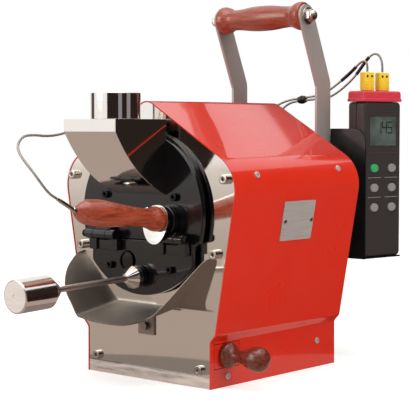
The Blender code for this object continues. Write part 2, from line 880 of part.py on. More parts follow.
def sampler_point(distance):
    """Return a point on the sampler's axis, at a distance ahead of the disc's face."""
    return Vector((SAMPLER_X, DISC_FRONT, SAMPLER_HEIGHT)) + sampler_axis() * distance


def make_sampler_guide():
    """Black bush through the disc in which the sampler slides."""
    bore = TRIER_RADIUS + RUN
    length = GUIDE_REACH + DISC_THICK
    guide = turned(
        "sampler_guide",
        [(0, bore), (0, GUIDE_RADIUS), (length, GUIDE_RADIUS), (length, bore)],
        sampler_point(-DISC_THICK),
        sampler_axis(),
        ring=True,
    )
    finish_part(guide, "black_paint")


def make_port_plug():
    """Polished plug in the disc's small port."""
    plug = turned(
        "port_plug",
        [
            (0, 0),
            (0, PORT_RADIUS),
            (DISC_THICK + GAP, PORT_RADIUS),
            (DISC_THICK + GAP, PORT_CAP_RADIUS),
            (DISC_THICK + GAP + PORT_CAP_REACH * PORT_DOME_SHARE, PORT_CAP_RADIUS),
            (DISC_THICK + GAP + PORT_CAP_REACH, PORT_CAP_RADIUS * PORT_DOME_SHARE),
            (DISC_THICK + GAP + PORT_CAP_REACH, 0),
        ],
        (PORT_X, DISC_BACK, PORT_HEIGHT),
        FORWARD,
        sides=24,
    )
    finish_part(plug, "mirror_steel")


def chute_profile(inset):
    """Return the chute's side profile in Y and Z, drawn in by a sheet thickness."""
    back = DISC_FRONT - GAP
    front = DISC_FRONT - HOPPER_REACH
    start = Vector((front, HOPPER_TOP - HOPPER_BAND))
    end = Vector((back, HOPPER_FOOT))
    down = Vector((
        math.cos(math.radians(HOPPER_FRONT_DEGREES)),
        -math.sin(math.radians(HOPPER_FRONT_DEGREES)),
    ))
    up = Vector((
        -math.cos(math.radians(HOPPER_FOOT_DEGREES)),
        math.sin(math.radians(HOPPER_FOOT_DEGREES)),
    ))
    across = end - start
    reach = (across.x * up.y - across.y * up.x) / (down.x * up.y - down.y * up.x)
    bend = start + down * reach
    curve = [(front, HOPPER_TOP)]
    for step in range(HOPPER_STEPS + 1):
        share = step / HOPPER_STEPS
        point = start * (1 - share) ** 2 + bend * 2 * share * (1 - share) + end * share ** 2
        curve.append(tuple(point))
    if inset == 0:
        return curve + [(back, HOPPER_TOP)]
    inner = offset(curve, inset)
    inner[0] = (front + inset, HOPPER_TOP - inset)
    slope = Vector(inner[-1]) - Vector(inner[-2])
    run = (back + OVERRUN - inner[-1][0]) / slope.x
    past = Vector(inner[-1]) + slope * run
    return inner + [tuple(past), (back + OVERRUN, HOPPER_TOP - inset)]


def make_hopper():
    """Chute of polished sheet, open to the drum, and its collar."""
    chute = slab(
        "hopper_chute", [chute_profile(0)], 2 * HOPPER_HALF, facing_side(-HOPPER_HALF)
    )
    inside_half = HOPPER_HALF - HOPPER_SHEET
    inside = slab(
        "chute_inside", [chute_profile(HOPPER_SHEET)], 2 * inside_half, facing_side(-inside_half)
    )
    axis_y = DISC_FRONT - COLLAR_REACH
    mouth = cylinder(
        "chute_mouth",
        (0, axis_y, HOPPER_TOP - HOPPER_SHEET - OVERRUN),
        UPWARD,
        2 * OVERRUN + HOPPER_SHEET,
        COLLAR_RADIUS - COLLAR_WALL,
        sides=40,
    )
    cut(chute, inside, mouth)
    finish_part(chute, "mirror_steel")
    inner = COLLAR_RADIUS - COLLAR_WALL
    rise = COLLAR_RISE - GAP
    collar = turned(
        "hopper_collar",
        [(0, inner), (0, COLLAR_RADIUS), (rise, COLLAR_RADIUS), (rise, inner)],
        (0, axis_y, HOPPER_TOP + GAP),
        UPWARD,
        sides=40,
        ring=True,
    )
    finish_part(collar, "mirror_steel")


def make_knuckle(name, side):
    """Fixed knuckle on the disc, with its foot above the seam."""
    half = KNUCKLE_LENGTH / 2
    middle = side * KNUCKLE_CENTRE
    barrel = cylinder(
        name, (middle - half, PIN_Y, HINGE_HEIGHT), ACROSS, KNUCKLE_LENGTH, KNUCKLE_RADIUS, 24
    )
    foot = box(
        f"{name}_foot",
        (middle - half + HINGE_EDGE, PIN_Y, SEAM_HEIGHT + SEAM_GAP),
        (middle + half - HINGE_EDGE, DISC_FRONT - GAP, HINGE_HEIGHT + KNUCKLE_FOOT_RISE),
    )
    bore = cylinder(
        f"{name}_bore",
        (middle - half - OVERRUN, PIN_Y, HINGE_HEIGHT),
        ACROSS,
        KNUCKLE_LENGTH + 2 * OVERRUN,
        PIN_RADIUS + RUN,
        16,
    )
    cut(fuse(barrel, foot), bore)
    return finish_part(barrel, "black_paint")


def make_leaf(name, side):
    """Clevis leaf on the door, one ear on each side of the knuckle."""
    middle = side * KNUCKLE_CENTRE
    inner = KNUCKLE_LENGTH / 2 + EAR_GAP
    outer = inner + EAR_LENGTH
    front = DISC_FRONT - GAP - LEAF_THICK
    leaf = box(
        name,
        (middle - outer, front, HINGE_HEIGHT - LEAF_DROP),
        (middle + outer, DISC_FRONT - GAP, HINGE_HEIGHT - LEAF_CLEAR),
    )
    for end in (-1, 1):
        start = middle + (inner if end > 0 else -outer)
        ear = cylinder(
            f"{name}_ear_{end}", (start, PIN_Y, HINGE_HEIGHT), ACROSS, EAR_LENGTH, KNUCKLE_RADIUS, 24
        )
        web = box(
            f"{name}_web_{end}",
            (start + HINGE_EDGE, PIN_Y + WEB_SETBACK, HINGE_HEIGHT - LEAF_DROP),
            (start + EAR_LENGTH - HINGE_EDGE, front + LEAF_THICK / 2, HINGE_HEIGHT - WEB_DROP),
        )
        fuse(leaf, web, ear)
    bore = cylinder(
        f"{name}_bore",
        (middle - outer - OVERRUN, PIN_Y, HINGE_HEIGHT),
        ACROSS,
        2 * outer + 2 * OVERRUN,
        PIN_RADIUS + GAP,
        16,
    )
    cut(leaf, bore)
    return finish_part(leaf, "black_paint")


def make_pin(name, side):
    """Socket-head pin from the outer side through leaf and knuckle."""
    outer = KNUCKLE_LENGTH / 2 + EAR_GAP + EAR_LENGTH
    head_start = side * (KNUCKLE_CENTRE + outer + GAP)
    pin = turned(
        name,
        [
            (0, 0),
            (0, PIN_HEAD_RADIUS),
            (PIN_HEAD_LENGTH, PIN_HEAD_RADIUS),
            (PIN_HEAD_LENGTH, PIN_RADIUS),
            (PIN_HEAD_LENGTH + 2 * outer + GAP, PIN_RADIUS),
            (PIN_HEAD_LENGTH + 2 * outer + GAP, 0),
        ],
        (head_start + side * PIN_HEAD_LENGTH, PIN_Y, HINGE_HEIGHT),
        -ACROSS * side,
        sides=16,
    )
    return finish_part(pin, "black_paint")


def make_door_plate():
    """Discharge door: the disc's lower part, with the sight glass opening."""
    seam = SEAM_HEIGHT - SEAM_GAP / 2
    low = math.acos(DOOR_HALF / DOOR_RADIUS)
    rim = arc_points((0, DRUM_HEIGHT), DOOR_RADIUS, math.pi + low, 2 * math.pi - low, 20)
    outline = [(DOOR_HALF, seam), (-DOOR_HALF, seam)] + rim
    glass = circle_points((GLASS_X, GLASS_HEIGHT), GLASS_RADIUS + GAP, 24)
    door = slab("door_plate", [outline, glass], DISC_THICK, facing_front(DISC_FRONT))
    bevel(door, DISC_BEVEL)
    fuse(door, *disc_studs("door_stud", DOOR_STUD_HALF, DRUM_HEIGHT - DOOR_STUD_DROP))
    return finish_part(door, "black_paint")


def make_sight_glass():
    """Round glass in the door, with a lip that stands proud."""
    total = DISC_THICK + GLASS_REACH
    glass = turned(
        "sight_glass",
        [
            (0, 0),
            (0, GLASS_RADIUS),
            (total, GLASS_RADIUS),
            (total, GLASS_RADIUS - GLASS_LIP),
            (total - GLASS_SUNK, GLASS_RADIUS - GLASS_LIP),
            (total - GLASS_SUNK, 0),
        ],
        (GLASS_X, DISC_BACK, GLASS_HEIGHT),
        FORWARD,
        sides=24,
    )
    return finish_part(glass, "sight_glass")


def lever_axis():
    """Return the lever's direction, away from the door."""
    return Vector((0, -math.cos(LEVER_DROP), -math.sin(LEVER_DROP)))


def lever_point(distance):
    """Return a point on the lever's axis, at a distance from the door's face."""
    return Vector((0, DISC_FRONT, LEVER_HEIGHT)) + lever_axis() * distance


def make_lever():
    """Hub on the door, rod, and the turned weight at its end."""
    seat = GAP + HUB_RADIUS * math.sin(LEVER_DROP)
    tip = HUB_LENGTH + HUB_CONE
    socket = ROD_RADIUS + GAP
    hub = turned(
        "lever_hub",
        [
            (0, 0),
            (0, HUB_RADIUS),
            (HUB_LENGTH - HUB_BEVEL, HUB_RADIUS),
            (HUB_LENGTH, HUB_RADIUS - HUB_BEVEL),
            (tip, HUB_TIP_RADIUS),
            (tip, socket),
            (tip - SOCKET_DEPTH, socket),
            (tip - SOCKET_DEPTH, 0),
        ],
        lever_point(seat),
        lever_axis(),
    )
    rod_start = seat + tip - SOCKET_DEPTH + GAP
    rod_length = SOCKET_DEPTH - GAP + ROD_VISIBLE + SOCKET_DEPTH - GAP
    rod = cylinder(
        "lever_rod", lever_point(rod_start), lever_axis(), rod_length, ROD_RADIUS, sides=20
    )
    weight_start = seat + tip + ROD_VISIBLE
    whole = WEIGHT_NECK_LENGTH + WEIGHT_LENGTH
    weight = turned(
        "counterweight",
        [
            (SOCKET_DEPTH, 0),
            (SOCKET_DEPTH, socket),
            (0, socket),
            (0, WEIGHT_NECK_RADIUS),
            (WEIGHT_NECK_LENGTH, WEIGHT_RADIUS - WEIGHT_BEVEL),
            (WEIGHT_NECK_LENGTH + WEIGHT_BEVEL, WEIGHT_RADIUS),
            (whole - WEIGHT_BEVEL, WEIGHT_RADIUS),
            (whole, WEIGHT_RADIUS - WEIGHT_BEVEL),
            (whole, 0),
        ],
        lever_point(weight_start),
        lever_axis(),
        sides=28,
    )
    finish_part(hub, "black_paint")
    finish_part(rod, "brushed_steel")
    finish_part(weight, "brushed_steel")
    return [hub, rod, weight]


def make_door():
    """Everything that swings about the hinge pins."""
    pieces = [make_door_plate(), make_sight_glass()]
    for name, side in (("left", -1), ("right", 1)):
        make_knuckle(f"hinge_knuckle_{name}", side)
        pieces.append(make_leaf(f"door_leaf_{name}", side))
        pieces.append(make_pin(f"hinge_pin_{name}", side))
    pieces += make_lever()
    pivot("door_axis", (0, PIN_Y, HINGE_HEIGHT), pieces)


def make_tray():
    """Trough of brushed sheet: sloping floor, raised wings, rounded rim."""
    wing_rise = TRAY_WING_HALF - TRAY_FLOOR_HALF
    back = PLATE_FRONT - GAP
    section = rounded(
        [
            (-TRAY_WING_HALF, TRAY_FLOOR_HEIGHT + wing_rise),
            (-TRAY_FLOOR_HALF, TRAY_FLOOR_HEIGHT),
            (TRAY_FLOOR_HALF, TRAY_FLOOR_HEIGHT),
            (TRAY_WING_HALF, TRAY_FLOOR_HEIGHT + wing_rise),
        ],
        [0, TRAY_BEND_RADIUS, TRAY_BEND_RADIUS, 0],
    )
    fall = math.tan(TRAY_SLOPE)
    length = TRAY_REACH + OVERRUN

    def build(shape):
        first = [shape.verts.new((x, back, z)) for x, z in section]
        edges = [shape.edges.new(pair) for pair in zip(first, first[1:])]
        grown = bmesh.ops.extrude_edge_only(shape, edges=edges)
        fresh = [item for item in grown["geom"] if isinstance(item, bmesh.types.BMVert)]
        bmesh.ops.translate(shape, vec=(0, -length, -length * fall), verts=fresh)

    tray = mesh_object("bean_tray", build)
    step = tray.modifiers.new("Solidify", "SOLIDIFY")
    step.thickness = TRAY_SHEET
    step.offset = -1.0 if tray.data.polygons[0].normal.z > 0 else 1.0
    step.use_even_offset = True
    rim = []
    for index in range(TRAY_OUTLINE_STEPS + 1):
        angle = math.pi * index / TRAY_OUTLINE_STEPS
        across = math.cos(angle)
        reach = abs(math.sin(angle)) ** (2 / TRAY_ROUND_POWER)
        side = math.copysign(abs(across) ** (2 / TRAY_ROUND_POWER), across)
        depth = TRAY_WING_REACH + reach * (TRAY_REACH - TRAY_WING_REACH)
        rim.append((side * (TRAY_WING_HALF - GAP), back - depth))
    rim += [(-TRAY_WING_HALF + GAP, back), (TRAY_WING_HALF - GAP, back)]
    depth = TRAY_FLOOR_HEIGHT + wing_rise + OVERRUN
    keeper = slab("tray_rim", [rim], depth, Matrix.Identity(4))
    combine(tray, keeper, "INTERSECT")
    flange = box(
        "tray_flange",
        (-TRAY_FLOOR_HALF + TRAY_BEND_RADIUS, back - TRAY_SHEET, TRAY_FLOOR_HEIGHT - FLANGE_DROP),
        (TRAY_FLOOR_HALF - TRAY_BEND_RADIUS, back, TRAY_FLOOR_HEIGHT - TRAY_SHEET / 2),
    )
    fuse(tray, flange)
    smooth(tray)
    finish_part(tray, "brushed_steel")


def make_tray_bracket():
    """Bracket under the tray, its arm along the sloping floor."""
    face = PLATE_FRONT - GAP - TRAY_SHEET - GAP
    fall = math.tan(TRAY_SLOPE)
    under = TRAY_FLOOR_HEIGHT - TRAY_SHEET / math.cos(TRAY_SLOPE) - BRACKET_PLAY
    top = under - (PLATE_FRONT - face) * fall
    tip = under - (PLATE_FRONT - face + BRACKET_ARM) * fall
    profile = [
        (face, top),
        (face - BRACKET_ARM, tip),
        (face - BRACKET_ARM, tip - BRACKET_THICK),
        (face - BRACKET_THICK, top - BRACKET_THICK - BRACKET_THICK * fall),
        (face - BRACKET_THICK, top - BRACKET_LEG),
        (face, top - BRACKET_LEG),
    ]
    bracket = slab(
        "tray_bracket", [profile], 2 * BRACKET_HALF, facing_side(-BRACKET_HALF)
    )
    bolt = cylinder(
        "bracket_bolt",
        (0, face - BRACKET_THICK + BOLT_SINK, top - BRACKET_BOLT_DROP),
        FORWARD,
        STUD_REACH + BOLT_SINK,
        STUD_RADIUS,
        sides=12,
    )
    fuse(bracket, bolt)
    finish_part(bracket, "brushed_steel")


def make_vane(name, start_angle):
    """Return one twisted vane that reaches into the drum's wall."""
    inner = DRUM_RADIUS - DRUM_WALL - VANE_RISE
    outer = DRUM_RADIUS - DRUM_WALL / 2
    length = DRUM_BACK - DRUM_WALL - DRUM_FRONT - 2 * VANE_END_CLEARANCE
    half = VANE_THICK / 2
    start = DRUM_FRONT + VANE_END_CLEARANCE

    def build(shape):
        rings = []
        for step in range(VANE_STEPS + 1):
            share = step / VANE_STEPS
            turn = Matrix.Rotation(
                start_angle + math.radians(VANE_TWIST_DEGREES) * share, 3, "Y"
            )
            y = start + length * share
            corners = [(inner, -half), (outer, -half), (outer, half), (inner, half)]
            ring = []
            for across, up in corners:
                ring.append(shape.verts.new(turn @ Vector((across, 0, up)) + Vector((0, y, 0))))
            rings.append(ring)
        shape.faces.new(rings[0])
        shape.faces.new(rings[-1])
        for near, far in zip(rings, rings[1:]):
            for index in range(4):
                following = (index + 1) % 4
                shape.faces.new((near[index], near[following], far[following], far[index]))

    return mesh_object(name, build, Matrix.Translation((0, 0, DRUM_HEIGHT)))


def make_drum():
    """Drum with twisted vanes, its flanged shaft and the motor coupling."""
    inner = DRUM_RADIUS - DRUM_WALL
    length = DRUM_BACK - DRUM_FRONT
    bore = SHAFT_RADIUS + GAP
    drum = turned(
        "drum_shell",
        [
            (length - DRUM_WALL, bore),
            (length - DRUM_WALL, inner),
            (0, inner),
            (0, DRUM_RADIUS),
            (length, DRUM_RADIUS),
            (length, bore),
        ],
        (0, DRUM_FRONT, DRUM_HEIGHT),
        BACKWARD,
        sides=40,
        ring=True,
    )
    for index in range(VANE_COUNT):
        fuse(drum, make_vane(f"drum_vane_{index}", 2 * math.pi * (index + 0.5) / VANE_COUNT))
    finish_part(drum, "raw_steel")

    flange_face = DRUM_BACK - DRUM_WALL - GAP
    shaft_end = REAR_OUTER + COUPLING_START + COUPLING_GRIP
    nose = flange_face - SHAFT_FLANGE_THICK - SHAFT_NOSE
    flange_start = SHAFT_NOSE
    shaft = turned(
        "drum_shaft",
        [
            (0, 0),
            (0, SHAFT_RADIUS),
            (flange_start, SHAFT_RADIUS),
            (flange_start, SHAFT_FLANGE_RADIUS),
            (flange_start + SHAFT_FLANGE_THICK, SHAFT_FLANGE_RADIUS),
            (flange_start + SHAFT_FLANGE_THICK, SHAFT_RADIUS),
            (shaft_end - nose, SHAFT_RADIUS),
            (shaft_end - nose, 0),
        ],
        (0, nose, DRUM_HEIGHT),
        BACKWARD,
        sides=24,
    )
    finish_part(shaft, "raw_steel")

    socket = SHAFT_RADIUS + GAP
    coupling_end = COUPLING_LENGTH
    stub_end = GEARBOX_START - COUPLING_START + GEARBOX_DEPTH / 2
    coupling = turned(
        "shaft_coupling",
        [
            (COUPLING_GRIP + GAP, 0),
            (COUPLING_GRIP + GAP, socket),
            (0, socket),
            (0, COUPLING_RADIUS),
            (coupling_end, COUPLING_RADIUS),
            (coupling_end, COUPLING_STUB_RADIUS),
            (stub_end, COUPLING_STUB_RADIUS),
            (stub_end, 0),
        ],
        (0, REAR_OUTER + COUPLING_START, DRUM_HEIGHT),
        BACKWARD,
        sides=24,
    )
    finish_part(coupling, "brushed_steel")
    pivot("drum_axis", (0, DRUM_FRONT, DRUM_HEIGHT), [drum, shaft, coupling])


def make_bearing():
    """Flanged bearing on the rear plate."""
    bore = SHAFT_RADIUS + RUN
    bearing = turned(
        "rear_bearing",
        [
            (0, bore),
            (0, BEARING_FLANGE_RADIUS),
            (BEARING_FLANGE_THICK, BEARING_FLANGE_RADIUS),
            (BEARING_FLANGE_THICK, BEARING_RADIUS),
            (BEARING_LENGTH, BEARING_RADIUS),
            (BEARING_LENGTH, bore),
        ],
        (0, REAR_OUTER + GAP, DRUM_HEIGHT),
        BACKWARD,
        sides=24,
        ring=True,
    )
    finish_part(bearing, "raw_steel")


def make_gearmotor():
    """Gearbox on four standoffs, with the motor's can behind it."""
    half = GEARBOX_SIDE / 2
    face = REAR_OUTER + GEARBOX_START
    gearbox = box(
        "gearmotor",
        (-half, face, DRUM_HEIGHT - half),
        (half, face + GEARBOX_DEPTH, DRUM_HEIGHT + half),
    )
    bevel(gearbox, GEARBOX_BEVEL)
    can = cylinder(
        "motor_can",
        (0, face + GEARBOX_DEPTH - BOLT_SINK, DRUM_HEIGHT),
        BACKWARD,
        MOTOR_LENGTH + BOLT_SINK,
        MOTOR_RADIUS,
    )
    fuse(gearbox, can)
    place = half - STANDOFF_EDGE
    for across in (-place, place):
        for up in (-place, place):
            leg = cylinder(
                f"standoff_{across:.3f}_{up:.3f}",
                (across, REAR_OUTER + GAP, DRUM_HEIGHT + up),
                BACKWARD,
                GEARBOX_START - GAP + BOLT_SINK,
                STANDOFF_RADIUS,
                sides=12,
            )
            fuse(gearbox, leg)
    well = cylinder(
        "gearbox_bore",
        (0, face - OVERRUN, DRUM_HEIGHT),
        BACKWARD,
        OVERRUN + GEARBOX_DEPTH / 2 + GAP,
        COUPLING_STUB_RADIUS + RUN,
        sides=24,
    )
    cut(gearbox, well)
    finish_part(gearbox, "raw_steel")


def make_motor_cover():
    """Black box behind the rear plate: handle bars beside it, vents and lead inlet behind."""
    start = REAR_OUTER + GAP
    end = REAR_OUTER + COVER_DEPTH
    cover = box(
        "motor_cover",
        (-COVER_HALF, start - 2 * COVER_BEVEL, COVER_BOTTOM),
        (COVER_HALF, end, COVER_TOP),
    )
    bevel(cover, COVER_BEVEL, 2)
    front = box(
        "cover_front",
        (-COVER_HALF - OVERRUN, start - 2 * COVER_BEVEL - OVERRUN, COVER_BOTTOM - OVERRUN),
        (COVER_HALF + OVERRUN, start, COVER_TOP + OVERRUN),
    )
    inside = box(
        "cover_inside",
        (-COVER_HALF + COVER_THICK, start - OVERRUN, COVER_BOTTOM + COVER_THICK),
        (COVER_HALF - COVER_THICK, end - COVER_THICK, COVER_TOP - COVER_THICK),
    )
    bevel(inside, COVER_BEVEL - COVER_THICK)
    cut(cover, front, inside)
    first = -(VENT_COUNT - 1) / 2 * VENT_PITCH
    for index in range(VENT_COUNT):
        across = first + index * VENT_PITCH
        slot = box(
            f"vent_{index}",
            (across - VENT_WIDTH / 2, end - COVER_THICK - OVERRUN, DRUM_HEIGHT - VENT_LENGTH / 2),
            (across + VENT_WIDTH / 2, end + OVERRUN, DRUM_HEIGHT + VENT_LENGTH / 2),
        )
        cut(cover, slot)
    collar = cylinder(
        "inlet_collar",
        (0, end - COVER_THICK / 2, DRUM_HEIGHT - INLET_DROP),
        BACKWARD,
        COVER_THICK / 2 + INLET_LENGTH,
        INLET_RADIUS,
        sides=16,
    )
    hole = cylinder(
        "inlet_hole",
        (0, end - COVER_THICK - OVERRUN, DRUM_HEIGHT - INLET_DROP),
        BACKWARD,
        COVER_THICK + INLET_LENGTH + 2 * OVERRUN,
        INLET_BORE_RADIUS,
        sides=16,
    )
    fuse(cover, collar)
    cut(cover, hole)
    finish_part(cover, "black_paint")


def bar_path():
    """Return the handle bar's middle path in Y and Z, from its foot to the grip."""
    return [
        (BAR_Y, BAR_FOOT),
        (BAR_Y, BAR_BEND_HEIGHT),
        (BAR_Y - GRIP_FORWARD, GRIP_HEIGHT),
    ]


def make_handle_bar(name, side):
    """Flat dog-leg bar with a round end at the grip and two bolts at its foot."""
    path = bar_path()
    half = BAR_WIDTH / 2
    left = offset(path, half)
    right = offset(path, -half)
    lean = math.atan2(path[2][1] - path[1][1], path[2][0] - path[1][0])
    end = arc_points(path[2], half, lean - math.pi / 2, lean + math.pi / 2, 12)
    outline = [right[0], right[1]] + end + [left[1], left[0]]
    hole = circle_points(path[2], TIE_RADIUS + GAP, 16)
    start = side * BAR_CENTRE - BAR_THICK / 2
    bar = slab(name, [outline, hole], BAR_THICK, facing_side(start))
    outer = side * (BAR_CENTRE + BAR_THICK / 2 - BOLT_SINK)
    for label, height in (("low", DRUM_HEIGHT - BAR_BOLT_DROP), ("high", DRUM_HEIGHT + BAR_BOLT_RISE)):
        head = cylinder(
            f"{name}_{label}_bolt",
            (outer, BAR_Y, height),
            ACROSS * side,
            BAR_BOLT_REACH + BOLT_SINK,
            BAR_BOLT_RADIUS,
            sides=12,
        )
        fuse(bar, head)
    finish_part(bar, "brushed_steel")


def make_grip():
    """Turned wooden grip between the bars."""
    half = BAR_CENTRE - BAR_THICK / 2 - GAP
    bore = TIE_RADIUS + GAP
    shares = [
        (0.0, GRIP_END_RADIUS * 0.93),
        (0.02, GRIP_END_RADIUS),
        (0.07, GRIP_END_RADIUS * 0.96),
        (0.13, GRIP_NECK_RADIUS * 1.05),
        (0.18, GRIP_NECK_RADIUS),
        (0.26, GRIP_NECK_RADIUS * 1.05),
        (0.38, GRIP_BULGE_RADIUS * 0.97),
        (0.5, GRIP_BULGE_RADIUS),
    ]
    outer = [(share * 2 * half, radius) for share, radius in shares]
    outer += [((1 - share) * 2 * half, radius) for share, radius in shares[-2::-1]]
    grip = turned(
        "handle_grip",
        [(0, bore)] + outer + [(2 * half, bore)],
        (-half, BAR_Y - GRIP_FORWARD, GRIP_HEIGHT),
        ACROSS,
        sides=16,
        ring=True,
    )
    finish_part(grip, "red_wood")


def make_tie_rod():
    """Rod through grip and bars, with a washer and a dome nut at each end."""
    axis_y = BAR_Y - GRIP_FORWARD
    face = BAR_CENTRE + BAR_THICK / 2 + GAP
    end = face + WASHER_THICK + NUT_LENGTH + DOME_LENGTH
    nut_end = DOME_LENGTH + NUT_LENGTH
    half_profile = [
        (0, 0),
        (0, DOME_RADIUS * DOME_TIP_SHARE),
        (DOME_LENGTH * DOME_RISE_SHARE, DOME_RADIUS * DOME_SIDE_SHARE),
        (DOME_LENGTH, DOME_RADIUS),
        (nut_end, DOME_RADIUS),
        (nut_end, WASHER_RADIUS),
        (nut_end + WASHER_THICK, WASHER_RADIUS),
        (nut_end + WASHER_THICK, TIE_RADIUS),
    ]
    mirrored = [(2 * end - distance, radius) for distance, radius in reversed(half_profile)]
    rod = turned(
        "handle_tie_rod", half_profile + mirrored, (-end, axis_y, GRIP_HEIGHT), ACROSS, sides=20
    )
    for side in (-1, 1):
        nut = cylinder(
            f"dome_nut_{side}",
            (side * (face + WASHER_THICK / 2), axis_y, GRIP_HEIGHT),
            ACROSS * side,
            WASHER_THICK / 2 + NUT_LENGTH,
            NUT_RADIUS,
            sides=6,
        )
        fuse(rod, nut)
    finish_part(rod, "mirror_steel")


def frame_of(across, up, out, start):
    """Return a place from its three directions and its start."""
    place = Matrix.Identity(4)
    for index, direction in enumerate((across, up, out, start)):
        for row in range(3):
            place[row][index] = direction[row]
    return place


def meter_place():
    """Return the thermometer's place: X along its face, Y into it, Z up."""
    along_face = Vector((math.sin(METER_TURN), math.cos(METER_TURN), 0))
    inward = Vector((-math.cos(METER_TURN), math.sin(METER_TURN), 0))
    return frame_of(along_face, inward, UPWARD, (METER_X, METER_Y, METER_BASE))


def button_places():
    """Return each button's name and its centre on the face: across and up."""
    names = iter(("power", "record", "mode", "hold", "alarm", "light"))
    places = []
    for row in range(BUTTON_ROWS):
        for side in (-1, 1):
            across = METER_WIDTH / 2 + side * BUTTON_COLUMN_HALF
            places.append((next(names), across, SCREEN_LOW - BUTTON_DROP - row * BUTTON_ROW_PITCH))
    return places


def oval(centre, width, height, grow=0.0, steps=16):
    """Return an oval's points round a centre."""
    points = []
    for step in range(steps):
        angle = 2 * math.pi * step / steps
        points.append((
            centre[0] + (width / 2 + grow) * math.cos(angle),
            centre[1] + (height / 2 + grow) * math.sin(angle),
        ))
    return points


def rectangle(low, high):
    """Return a rectangle's corners."""
    return [low, (high[0], low[1]), high, (low[0], high[1])]


def face_plate(name, outline, front, back):
    """Return a slab drawn on the thermometer's face, between two depths into it."""
    return slab(name, [outline], back - front, meter_place() @ facing_front(front))


def make_meter_case():
    """Thermometer case with its screen, cap and six buttons."""
    place = meter_place()
    case = box(
        "thermometer_case", (0, 0, 0), (METER_WIDTH, METER_DEPTH, METER_BODY_HEIGHT), place
    )
    bevel(case, METER_BEVEL, 2)
    left = (METER_WIDTH - SCREEN_WIDTH) / 2
    low = (left, SCREEN_LOW)
    high = (left + SCREEN_WIDTH, SCREEN_LOW + SCREEN_HEIGHT)
    recess = rectangle((low[0] - GAP, low[1] - GAP), (high[0] + GAP, high[1] + GAP))
    cut(case, face_plate("screen_recess", recess, -OVERRUN, SCREEN_DEPTH + GAP))
    screen = face_plate("thermometer_screen", rectangle(low, high), SCREEN_PROUD, SCREEN_DEPTH)
    finish_part(screen, "screen_glass")
    for name, across, up in button_places():
        well = oval((across, up), BUTTON_WIDTH, BUTTON_HEIGHT, RUN)
        cut(case, face_plate(f"{name}_well", well, -OVERRUN, BUTTON_WELL))
        outline = oval((across, up), BUTTON_WIDTH, BUTTON_HEIGHT)
        back = BUTTON_LENGTH - BUTTON_PROUD
        button = face_plate(f"button_{name}", outline, -BUTTON_PROUD, back)
        finish_part(button, "green_rubber" if name == "power" else "grey_rubber")
        pivot(f"button_{name}_slide", place @ Vector((across, 0, up)), [button])
    finish_part(case, "grey_plastic")
    cap = box(
        "thermometer_cap",
        (-CAP_LEDGE, -CAP_LEDGE, METER_BODY_HEIGHT + GAP),
        (METER_WIDTH + CAP_LEDGE, METER_DEPTH + CAP_LEDGE, METER_TOP - METER_BASE),
        place,
    )
    bevel(cap, METER_BEVEL / 2)
    finish_part(cap, "red_plastic")


def make_plugs():
    """Two flat lead plugs side by side on the thermometer's cap."""
    low = METER_TOP - METER_BASE + GAP
    for index, side in ((1, -1), (2, 1)):
        middle = METER_WIDTH / 2 + side * PLUG_HALF_PITCH
        plug = box(
            f"probe_plug_{index}",
            (middle - PLUG_WIDTH / 2, METER_DEPTH / 2 - PLUG_DEPTH / 2, low),
            (middle + PLUG_WIDTH / 2, METER_DEPTH / 2 + PLUG_DEPTH / 2, low + PLUG_HEIGHT),
            meter_place(),
        )
        bevel(plug, PLUG_BEVEL)
        finish_part(plug, "yellow_plastic")


def plug_point(side):
    """Return the middle of a plug's top."""
    middle = METER_WIDTH / 2 + side * PLUG_HALF_PITCH
    top = METER_TOP - METER_BASE + GAP + PLUG_HEIGHT
    return meter_place() @ Vector((middle, METER_DEPTH / 2, top))


def make_cradle():
    """Folded black bracket on the right handle bar that holds the thermometer."""
    start_x = BAR_CENTRE + BAR_THICK / 2 + GAP
    wall_y = METER_Y - GAP - CRADLE_THICK
    foot = METER_BASE - GAP - CRADLE_THICK
    corners = [
        (start_x, foot),
        (METER_X + CRADLE_LIP, foot),
        (METER_X + CRADLE_LIP, CRADLE_TOP),
        (start_x, CRADLE_TOP),
    ]
    outline = rounded(corners, [0, 0, CRADLE_ROUND, 0], closed=True)
    cradle = slab("thermometer_cradle", [outline], CRADLE_THICK, facing_front(wall_y))
    place = meter_place()
    behind = METER_DEPTH + GAP
    reach = METER_DEPTH * math.tan(METER_TURN) + 2 * CRADLE_THICK
    back = box(
        "cradle_back",
        (-reach, behind, -GAP - CRADLE_THICK),
        (CRADLE_BACK_WIDTH, behind + CRADLE_THICK, CRADLE_BACK_RISE),
        place,
    )
    shelf = box(
        "cradle_shelf",
        (-reach, 0, -GAP - CRADLE_THICK),
        (METER_WIDTH, behind + CRADLE_THICK / 2, -GAP),
        place,
    )
    ahead = Vector((2 * METER_WIDTH, METER_WIDTH, OVERRUN))
    middle = wall_y + CRADLE_THICK / 2
    for item in (back, shelf):
        clear = box(
            f"{item.name}_clear",
            (METER_X - ahead.x, middle - ahead.y, foot - ahead.z),
            (METER_X + ahead.x, middle, CRADLE_TOP + ahead.z),
        )
        cut(item, clear)
    fuse(cradle, back, shelf)
    finish_part(cradle, "black_paint")


def sampler_place(distance):
    """Return the sampler's place: X across, Y to its upper side, Z out along its axis."""
    upper = Vector((0, math.sin(SAMPLER_RISE), math.cos(SAMPLER_RISE)))
    return frame_of(ACROSS, upper, sampler_axis(), sampler_point(distance))


def wood_start():
    """Return the wooden handle's start on the sampler's axis."""
    return GUIDE_REACH + SHIELD_GAP + SHIELD_THICK + GAP


